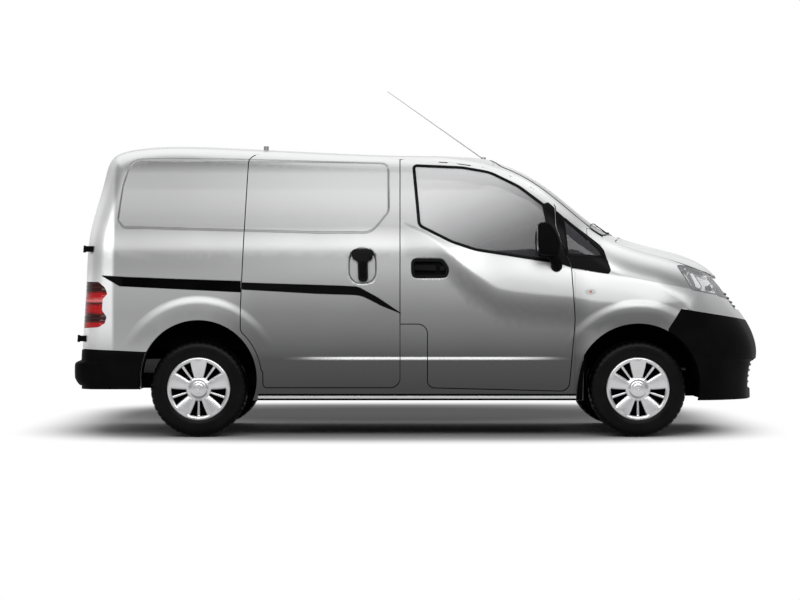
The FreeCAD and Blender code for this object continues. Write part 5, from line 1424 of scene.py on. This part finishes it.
class VanTrimOperator(bpy.types.Operator):
    """Add the slide rails, handles, repeaters, sill strips and wheel arch liners"""

    bl_idname = "panel_van.trim"
    bl_label = "Side trim"

    RAIL_END = ((-1.976, 1.004, 0.003), (-1.842, 0.996, 0.002), (-1.842, 0.936, 0.002),
                (-1.868, 0.941, 0.012))
    RAIL_LINING = ((-1.955, 0.9985, 0.004), (-1.5, 0.981, 0), (-1.109, 0.968, 0), (-1.109, 0.899, 0),
                   (-1.857, 0.937, 0.02))
    FRONT_GAP = ((-0.122, 1.732, 0), (-0.122, 0.702, 0), (0.048, 0.702, 0.060),
                 (0.048, 0.307, 0.045), (0.925, 0.285, 0.055), (0.963, 0.730, 0.5),
                 (0.941, 1.040, 0.06), (0.849, 1.312, 0.15), (0.847, 1.440, 0.03),
                 (0.711, 1.546, 0.2), (0.561, 1.630, 0.25), (0.401, 1.682, 0.15),
                 (0.197, 1.710, 0.12))
    SLIDE_GAP = ((-0.122, 1.730, 0), (-0.122, 0.307, 0.060), (-0.972, 0.307, 0.025),
                 (-0.972, 0.400, 0), (-1.110, 0.668, 0.020), (-1.110, 0.800, 0.2),
                 (-1.068, 1.764, 0.06))
    RAIL_GROOVE = ((-1.860, 0.957, 0.003), (-1.109, 0.925, 0), (-1.109, 0.903, 0),
                   (-1.850, 0.941, 0.003))

    def execute(self, context):
        for name, side in SIDES:
            self.rail(name, side)
            self.strips(name, side)
            self.front_handle(name, side)
            self.slide_handle(name, side)
            self.repeater(name, side)
            self.sill(name, side)
            self.liners(name, side)
        return {"FINISHED"}

    def strips(self, name, side):
        """Black weather strips in the gaps around the side doors."""
        for label, corners in (("front", self.FRONT_GAP), ("slide", self.SLIDE_GAP)):
            spots = even_loop([(x, 0.0, z) for x, z in rounded_outline(corners)], 0.02)
            if label == "slide":
                kept = spots[:, 0] < -0.130
                first = np.flatnonzero(kept & ~np.roll(kept, 1))[0]
                spots = np.roll(spots, -first, axis=0)[np.roll(kept, -first)]
            else:
                spots = np.vstack([spots, spots[:1]])
            x, z = spots[:, 0], spots[:, 2]
            line = form.flank(x, z, side, side_relief(x, z) * shut_fade(x, z) - 0.0045)
            tube("gap_strip_%s_%s" % (label, name), line, 0.0019, "root", "under")

    def rail(self, name, side):
        """Rail of a sliding door, let into the body side, and the strip that goes on along the door."""
        lining, groove = rounded_outline(self.RAIL_LINING), rounded_outline(self.RAIL_GROOVE)
        add_plate("rail_end_" + name, rounded_outline(self.RAIL_END), side, TRIM_RISES, "root",
                  "plastic", relief=side_relief)
        add_plate("rail_floor_" + name, lining, side, (-0.0130, -0.0095), "root", "under")
        add_plate("rail_lining_" + name, lining, side, (-0.0095, -0.0015), "root", "plastic",
                  (groove,))
        add_plate("door_strip_" + name, rounded_outline(STRIP), side, (-0.002, 0.0035),
                  body_of("sliding_door_" + name), "plastic", relief=side_relief)

    def front_handle(self, name, side):
        """Sunk cup of a front door with its rim, the grip over it and the lock beside it."""
        body = body_of("front_door_" + name)
        cup = rounded_outline(HANDLE_CUP)
        inner, outer = offset_outline(cup, -0.016), offset_outline(cup, 0.003)
        grip = rounded_outline(((-0.036, 1.068, 0.012), (0.105, 1.068, 0.012),
                                (0.105, 1.030, 0.012), (-0.036, 1.034, 0.012)))
        lock = oval(0.140, 1.048, 0.017, 0.017, 20)
        add_plate("handle_cup_" + name, cup, side, (-0.0215, -0.0205), body, "plastic")
        add_plate("handle_rim_" + name, outer, side, (-0.0190, 0.0040), body, "trim", (inner,),
                  edge=0.02, bevel=0.003)
        add_plate("handle_grip_" + name, grip, side, (-0.010, 0.0085), body, "trim", edge=0.015,
                  bevel=0.005)
        add_plate("handle_lock_" + name, lock, side, (-0.018, 0.0015), body, "trim", edge=0.03,
                  bevel=0.002)

    def slide_handle(self, name, side):
        """Upright grip of a sliding door and the inlay on it."""
        body = body_of("sliding_door_" + name)
        grip = ((-0.422, 1.163, 0.014), (-0.290, 1.163, 0.014), (-0.292, 1.105, 0.020),
                (-0.322, 1.092, 0.016), (-0.320, 0.965, 0.026), (-0.380, 0.965, 0.026),
                (-0.384, 1.092, 0.016), (-0.418, 1.108, 0.020))
        add_plate("slide_grip_" + name, rounded_outline(grip), side, (-0.016, 0.0060), body, "trim",
                  edge=0.015, bevel=0.005)
        ring = rounded_outline(((-0.372, 1.090, 0.01), (-0.332, 1.090, 0.01), (-0.334, 0.985, 0.014),
                                (-0.370, 0.985, 0.014)))
        add_plate("slide_inlay_" + name, ring, side, (0.0058, 0.0078), body, "plastic", edge=0.02,
                  bevel=0.001)

    def repeater(self, name, side):
        """Small lamp on the wing: a bright rim, a clear cover and an amber bulb."""
        for label, width, height, rises, bevel, finish in (
                ("repeater_rim_", 0.034, 0.018, (-0.001, 0.002), 0.001, "steel"),
                ("repeater_", 0.030, 0.0145, (0.001, 0.008), 0.003, "clear"),
                ("repeater_bulb_", 0.007, 0.007, (0.002, 0.0085), 0.001, "amber")):
            outline = oval(1.057, 0.902, width, height, 32)
            add_plate(label + name, outline, side, rises, "root", finish, (), 0.02, side_relief, bevel)

    def sill(self, name, side):
        """Strip along the sill whose bright silver is a painted highlight, dark joints above and below
        it, and the arch's heel.
        """
        back, front = -1.003, 0.970
        # The proud strip wears the bright silver of the wheel covers as a painted highlight on the lip
        # of the sill
        for label, low, high, radius, rises, bevel, finish in (
                ("sill_highlight_strip_", 0.2420, 0.2575, 0.004, (-0.001, 0.010), 0.003, "cover"),
                ("sill_joint_", 0.2590, 0.2690, 0.002, (-0.001, 0.001), 0.0005, "under"),
                ("sill_foot_", 0.2290, 0.2410, 0.002, (-0.001, 0.001), 0.0005, "under")):
            strip = rounded_outline(((back, high, radius), (front, high, radius),
                                     (front, low, radius), (back, low, radius)))
            add_plate(label + name, strip, side, rises, "root", finish, edge=0.08, bevel=bevel)
        heel = ((1.018, 0.500, 0.004), (0.9965, 0.424, 0.05), (0.979, 0.3235, 0.05),
                (0.972, 0.2300, 0.002), (1.010, 0.2300, 0.002), (1.012, 0.34, 0.02))
        add_plate("arch_heel_" + name, rounded_outline(heel), side, (-0.001, 0.0012), "root",
                  "under", bevel=0.0005)

    def liners(self, name, side):
        """Black inner linings of both wheel arches, with flaps down to the sill."""
        wall, flap = 0.003, 0.065
        for label, x, z, radius, inner, outer, low in (
                ("front", *FRONT_ARCH, 0.389, 0.445, 0.800, 0.242),
                ("rear", *REAR_ARCH, 0.365, 0.620, 0.815, 0.298)):
            turns = [math.radians(turn) for turn in range(0, 181, 6)]
            arch = [(x + radius, low), (x + radius, 0.5 * (low + z))]
            arch += [(x + radius * math.cos(turn), z + radius * math.sin(turn)) for turn in turns]
            arch += [(x - radius, 0.5 * (low + z)), (x - radius, low)]
            rows = [[(px, side * y, pz) for px, pz in arch]
                    for y in (inner, 0.5 * (inner + outer), outer)]
            mesh = finished("liner", from_grid("liner", rows), thickened(wall))
            add_piece("arch_liner_%s_%s" % (label, name), mesh, "root", "under")
            place_y = inner + (0.0 if label == "rear" else 0.01)
            for end in (-1.0, 1.0):
                rows = [[(x + end * reach, side * place_y, height) for reach in
                         (radius - flap, 0.5 * radius + 0.5 * (radius - flap), radius)]
                        for height in (low, 0.5 * (low + z), z + 0.03)]
                mesh = finished("flap", from_grid("flap", rows), thickened(wall))
                place = "front" if end > 0 else "back"
                add_piece("arch_flap_%s_%s_%s" % (label, name, place), mesh, "root", "under")


class VanLampsOperator(bpy.types.Operator):
    """Fill the headlamps, shape the tail lamps and bar the grille"""

    bl_idname = "panel_van.lamps"
    bl_label = "Lamps and grille"

    LENS = ((1.603, 1.068, 0.008), (1.692, 0.912, 0.008), (1.850, 0.886, 0.1), (1.960, 0.880, 0.03),
            (1.930, 0.975, 0.02), (1.900, 1.000, 0.02), (1.660, 1.066, 0.03))
    BOWLS = (((1.639, 1.058, 0.012), (1.668, 1.062, 0.012), (1.678, 1.040, 0.012),
              (1.652, 1.030, 0.012)),
             ((1.672, 1.028, 0.012), (1.712, 1.030, 0.02), (1.762, 0.940, 0.02),
              (1.752, 0.912, 0.015), (1.716, 0.922, 0.02)),
             ((1.812, 0.950, 0.012), (1.838, 0.960, 0.012), (1.862, 0.925, 0.012),
              (1.836, 0.915, 0.012)))

    GRILLE_EDGE = 0.436

    def execute(self, context):
        for name, side in SIDES:
            self.headlamp(name, side)
        self.tail_lamps()
        self.grille()
        return {"FINISHED"}

    def headlamp(self, name, side):
        lens = rounded_outline(self.LENS)
        inner = offset_outline(lens, -0.007)
        border = add_plate("lamp_border_" + name, offset_outline(lens, -0.001), side,
                           (-0.0035, -0.0005), "root", "trim", (inner,), 0.02, None, 0.0)
        sheet = add_plate("lamp_reflector_" + name, offset_outline(lens, -0.006), side,
                          (-0.028, -0.026), "root", "chrome", (), 0.02,
                          lambda x, z: 0.004 * np.sin((x + 0.4 * z) * 260.0), 0.0)
        for piece in (border, sheet):
            cut_off(piece.data, (0, self.GRILLE_EDGE * side, 0), (0, side, 0))
        for index, corners in enumerate(self.BOWLS):
            outline = rounded_outline(corners)
            number = "%d_%s" % (index + 1, name)
            add_plate("lamp_bowl_" + number, outline, side, (-0.022, -0.006), "root", "trim",
                      edge=0.01, bevel=0.002)
            add_plate("lamp_eye_" + number, offset_outline(outline, -0.009), side, (-0.006, -0.003),
                      "root", "mirror", edge=0.01, bevel=0.001)

    def tail_lamps(self):
        """Three chambers, parted by grooves, with fine steps across each."""
        step_height = 0.024

        def relief(p):
            groove = sum(bell(p[:, 2] - z, 0.007) for z in (0.885, 0.762))
            steps = 1 - np.cos(p[:, 2] * 2 * math.pi / step_height)
            return -0.004 * groove - 0.0012 * steps

        mesh = wrapped_panel("tail_lamps", relief, lambda p: np.zeros(len(p)), everywhere, 0.010,
                             0.006)
        add_piece("tail_lamps_skin", mesh, "root", "red", ("tail_lamps",))

    def grille(self):
        """Black panel with four level bars between the headlamps, and slats in the intake."""
        mesh = wrapped_panel("grille", lambda p: np.full(len(p), -0.014),
                             lambda p: np.full(len(p), 0.03), everywhere, 0.04, 0.02, 0.02)
        add_piece("grille_back", mesh, "root", "plastic", ("grille",))
        y = np.linspace(-0.425, 0.425, 41)
        for index, z in enumerate((0.812, 0.838, 0.864, 0.890)):
            line = form.end(y, np.full(y.shape, z) + 0.012 * (y / 0.425) ** 2, 1.0, -0.008)
            tube("grille_bar_%d" % (index + 1), line, 0.0055, "root", "trim")
        y = np.linspace(-0.455, 0.455, 33)
        for index, z in enumerate((0.325, 0.360, 0.395, 0.430)):
            line = form.end(y, np.full(y.shape, z), 1.0, -0.026)
            tube("intake_slat_%d" % (index + 1), line, 0.006, "root", "trim")


class VanBackOperator(bpy.types.Operator):
    """Shape the rear bumper and fit the handle of the rear doors"""

    bl_idname = "panel_van.back"
    bl_label = "Back"

    def execute(self, context):
        self.bumper()
        self.handle()
        return {"FINISHED"}

    def bumper(self):
        """Upper band flush with the body and a step with rounded edges below it."""
        turn_x, turn_y, arch_radius = -1.90, 0.45, 0.366

        def row(edge, level, rise):
            """Half of one level line, mirrored. The edge is 1 at the top line, -1 at the lower one."""
            front = REAR_ARCH[0] - math.sqrt(arch_radius ** 2 - (level - REAR_ARCH[1]) ** 2)
            points = [((front + share * (turn_x - front), 0.30), (0.0, 1.0))
                      for share in np.linspace(0.0, 1.0, 13)[:-1]]
            points += [((turn_x, turn_y), (-math.sin(turn), math.cos(turn)))
                       for turn in np.linspace(0.0, math.pi / 2, 19)]
            points += [((turn_x, turn_y * (1 - share)), (-1.0, 0.0))
                       for share in np.linspace(0.0, 1.0, 17)[1:]]
            starts, ways = [], []
            for (x, y), (dx, dy) in points:
                low = 0.299 - 0.075 * (x + dx * 0.25 + 1.752)
                high = 0.529 - 0.045 * (x + dx * 0.2 + 1.701)
                starts.append((x, y, level + (high - 0.540 if edge > 0 else 0.0)
                               + (low - 0.322 if edge < 0 else 0.0)))
                ways.append((dx, dy, 0.0))
            spots = form.cast(starts, ways)
            back = ease((-unit(form.sample(spots)[1])[:, 0] - 0.10) / 0.75)
            spots = form.cast(starts, ways, np.where(rise > 0.003, rise * back, rise) + 0.001)
            return np.vstack([spots, spots[-2::-1] * (1.0, -1.0, 1.0)])

        rows = [row(*item) for item in (
            (1, 0.536, -0.012), (1, 0.539, -0.001), (1, 0.533, 0.0015), (0, 0.515, 0.0020),
            (0, 0.482, 0.0025), (0, 0.474, 0.006), (0, 0.467, 0.020), (0, 0.461, 0.034),
            (0, 0.453, 0.0415), (0, 0.442, 0.0435), (0, 0.415, 0.0440), (0, 0.385, 0.0435),
            (0, 0.366, 0.0420), (0, 0.352, 0.036), (-1, 0.336, 0.026), (-1, 0.324, 0.014),
            (-1, 0.322, 0.0015), (0, 0.2988, 0.0015), (0, 0.2988, -0.010))]
        mesh = finished("rear_bumper_skin", from_grid("rear_bumper_skin", rows), thickened(0.004))
        add_piece("rear_bumper_skin", mesh, "root", "plastic", ("rear_bumper",))

    def handle(self):
        """Bar handle of the wider rear door."""
        y = np.linspace(0.02, 0.16, 9)
        line = form.end(y, np.full(y.shape, 1.06), -1.0, 0.010)
        tube("rear_handle", line, [0.006] + [0.011] * 7 + [0.006], body_of("rear_door_left"), "trim")


class VanCabOperator(bpy.types.Operator):
    """Upholster the seats and dress the dashboard, steering wheel, mirrors and wipers"""

    bl_idname = "panel_van.cab"
    bl_label = "Cab"

    def execute(self, context):
        self.seats()
        for node, finish, voxel in (("dashboard", "dash", 0.011), ("steering_wheel", "trim", 0.005),
                                    ("mirror_left", "plastic", 0.006),
                                    ("mirror_right", "plastic", 0.006)):
            add_piece(node + "_skin", moulded(node, voxel), body_of(node), finish, (node,))
        self.instruments()
        for name, side in SIDES:
            self.mirror_glass(name, side)
            self.mirror_foot(name, side)
            self.door_card(name, side)
        self.wipers()
        return {"FINISHED"}

    def seats(self):
        """Rounded cushions and backs, with sunk seams along their sides and across them."""
        seat_middle, panel_half, channel_step, seam_depth = 0.385, 0.150, 0.12, 0.006
        for node in ("seat_cushions", "seat_backs"):
            skin = moulded(node, 0.012, 10, 0.6, subdivided())
            spots = read_rows(skin.vertices, "co")
            across = np.abs(np.abs(spots[:, 1]) - seat_middle)
            seam = bell(across - panel_half, 0.007)
            run = spots[:, 0] if node == "seat_cushions" else spots[:, 2]
            channels = bell((run + 0.05) % channel_step - channel_step / 2, 0.006)
            channels = channels * (across < panel_half)
            normals = np.array([vert.normal[:] for vert in skin.vertices])
            spots -= normals * (seam_depth * np.maximum(seam, channels))[:, None]
            skin.vertices.foreach_set("co", spots.ravel())
            piece = add_piece(node + "_padded", skin, "root", "cloth", (node,))

    def instruments(self):
        """Hood over the instruments."""
        rows = []
        for along in np.linspace(0.0, 1.0, 7):
            x = 0.80 + 0.16 * along
            rows.append([(x, 0.385 + 0.19 * math.cos(turn),
                          1.135 + (0.070 - 0.02 * along) * math.sin(turn))
                         for turn in np.linspace(0.0, math.pi, 17)])
        hood = finished("instrument_hood", from_grid("instrument_hood", rows), thickened(0.008))
        add_piece("instrument_hood", hood, "root", "dash")

    def mirror_glass(self, name, side):
        """Flat glass with a small step around its edge."""
        outline = rounded_outline(((0.898, 1.306, 0.02), (1.000, 1.312, 0.03), (1.005, 1.150, 0.03),
                                   (0.900, 1.142, 0.02)))
        rows = [[(x, side * y, z) for y, z in offset_outline(outline, shift)]
                for x, shift in ((0.7235, 0.0), (0.7235, -0.004), (0.7215, -0.004))]
        middle = (0.7210, side * 0.950, 1.228)
        rows.append([tuple(Vector(spot).lerp(Vector(middle), 0.999)) for spot in rows[-1]])
        mesh = from_grid("mirror_glass", rows, closed_columns=True)
        mesh.set_sharp_from_angle(angle=math.radians(35))
        add_piece("mirror_glass_" + name, mesh, body_of("mirror_" + name), "mirror")

    def mirror_foot(self, name, side):
        """Black stalk from the corner of the door up to the housing."""
        places = ((0.846, 0.822, 1.058), (0.848, 0.838, 1.060), (0.846, 0.860, 1.070),
                  (0.836, 0.885, 1.090), (0.815, 0.912, 1.125), (0.795, 0.930, 1.165))
        line = [(x, side * y, z) for x, y, z in places]
        tube("mirror_foot_" + name, line, [0.036, 0.036, 0.034, 0.031, 0.029, 0.026],
             body_of("mirror_" + name), "plastic")

    def door_card(self, name, side):
        """Dark lining on the inner face of a front door, below the window."""
        card = ((-0.075, 1.22, 0.04), (0.16, 1.155, 0.2), (0.345, 1.115, 0.2), (0.80, 1.045, 0.05),
                (0.885, 0.98, 0.05), (0.900, 0.73, 0.3), (0.870, 0.36, 0.06), (0.10, 0.36, 0.05),
                (0.09, 0.745, 0.05), (-0.075, 0.75, 0.03))
        add_plate("door_card_" + name, rounded_outline(card), side, (-0.0455, -0.0405),
                  body_of("front_door_" + name), "dash", edge=0.06, bevel=0.002)

    def wipers(self):
        """Two blades that rest along the foot of the windscreen, each on its arm."""
        for label, start, stop, post in (("left", (0.02, 0.56), (1.165, 1.075), 0.30),
                                         ("right", (-0.60, -0.06), (1.075, 1.165), -0.28)):
            share = np.linspace(0.0, 1.0, 21)
            x = stop[0] + (stop[1] - stop[0]) * share
            y = start[0] + (start[1] - start[0]) * share
            p = form.cast(np.stack([x, y, np.full(21, 1.0)], 1), (0, 0, 1), 0.0035, 1.0)
            tube("wiper_blade_" + label, p, [0.002] + [0.0032] * 19 + [0.002], "root", "trim")
            foot = form.cast([(1.222, post, 1.0)], (0, 0, 1), 0.004, 1.0)[0]
            middle = p[10] + (0, 0, 0.001)
            tube("wiper_arm_" + label, [foot, foot + (-0.02, 0, 0.004), middle], [0.006, 0.0045, 0.003],
                 "root", "trim")


class VanPanel(bpy.types.Panel):
    """Shows the van's operators and their settings in the sidebar"""

    bl_label = "Panel Van"
    bl_idname = "VIEW3D_PT_panel_van"
    bl_space_type = "VIEW_3D"
    bl_region_type = "UI"
    bl_category = "Panel Van"

    def draw(self, context):
        column = self.layout.column(align=True)
        for operator in OPERATORS:
            column.operator(operator.bl_idname)
        for group in (context.scene.panel_van_look, context.scene.panel_van_wheels,
                      context.scene.panel_van_stage):
            for name in group.__annotations__:
                column.prop(group, name)


OPERATORS = (VanStageOperator, VanFinishOperator, VanPanelsOperator, VanWheelsOperator,
             VanGlazingOperator, VanTrimOperator, VanLampsOperator, VanBackOperator,
             VanCabOperator)
GROUPS = {"panel_van_look": PanelVanLook, "panel_van_wheels": PanelVanWheels,
          "panel_van_stage": PanelVanStage}
CLASSES = (*GROUPS.values(), *OPERATORS, VanPanel)


def register():
    for item in CLASSES:
        bpy.utils.register_class(item)
    for name, group in GROUPS.items():
        setattr(bpy.types.Scene, name, PointerProperty(type=group))


def unregister():
    for name in GROUPS:
        delattr(bpy.types.Scene, name)
    for item in reversed(CLASSES):
        bpy.utils.unregister_class(item)


def main():
    register()
    for operator in OPERATORS:
        space, name = operator.bl_idname.split(".")
        getattr(getattr(bpy.ops, space), name)()


if __name__ == "__main__":
    main()
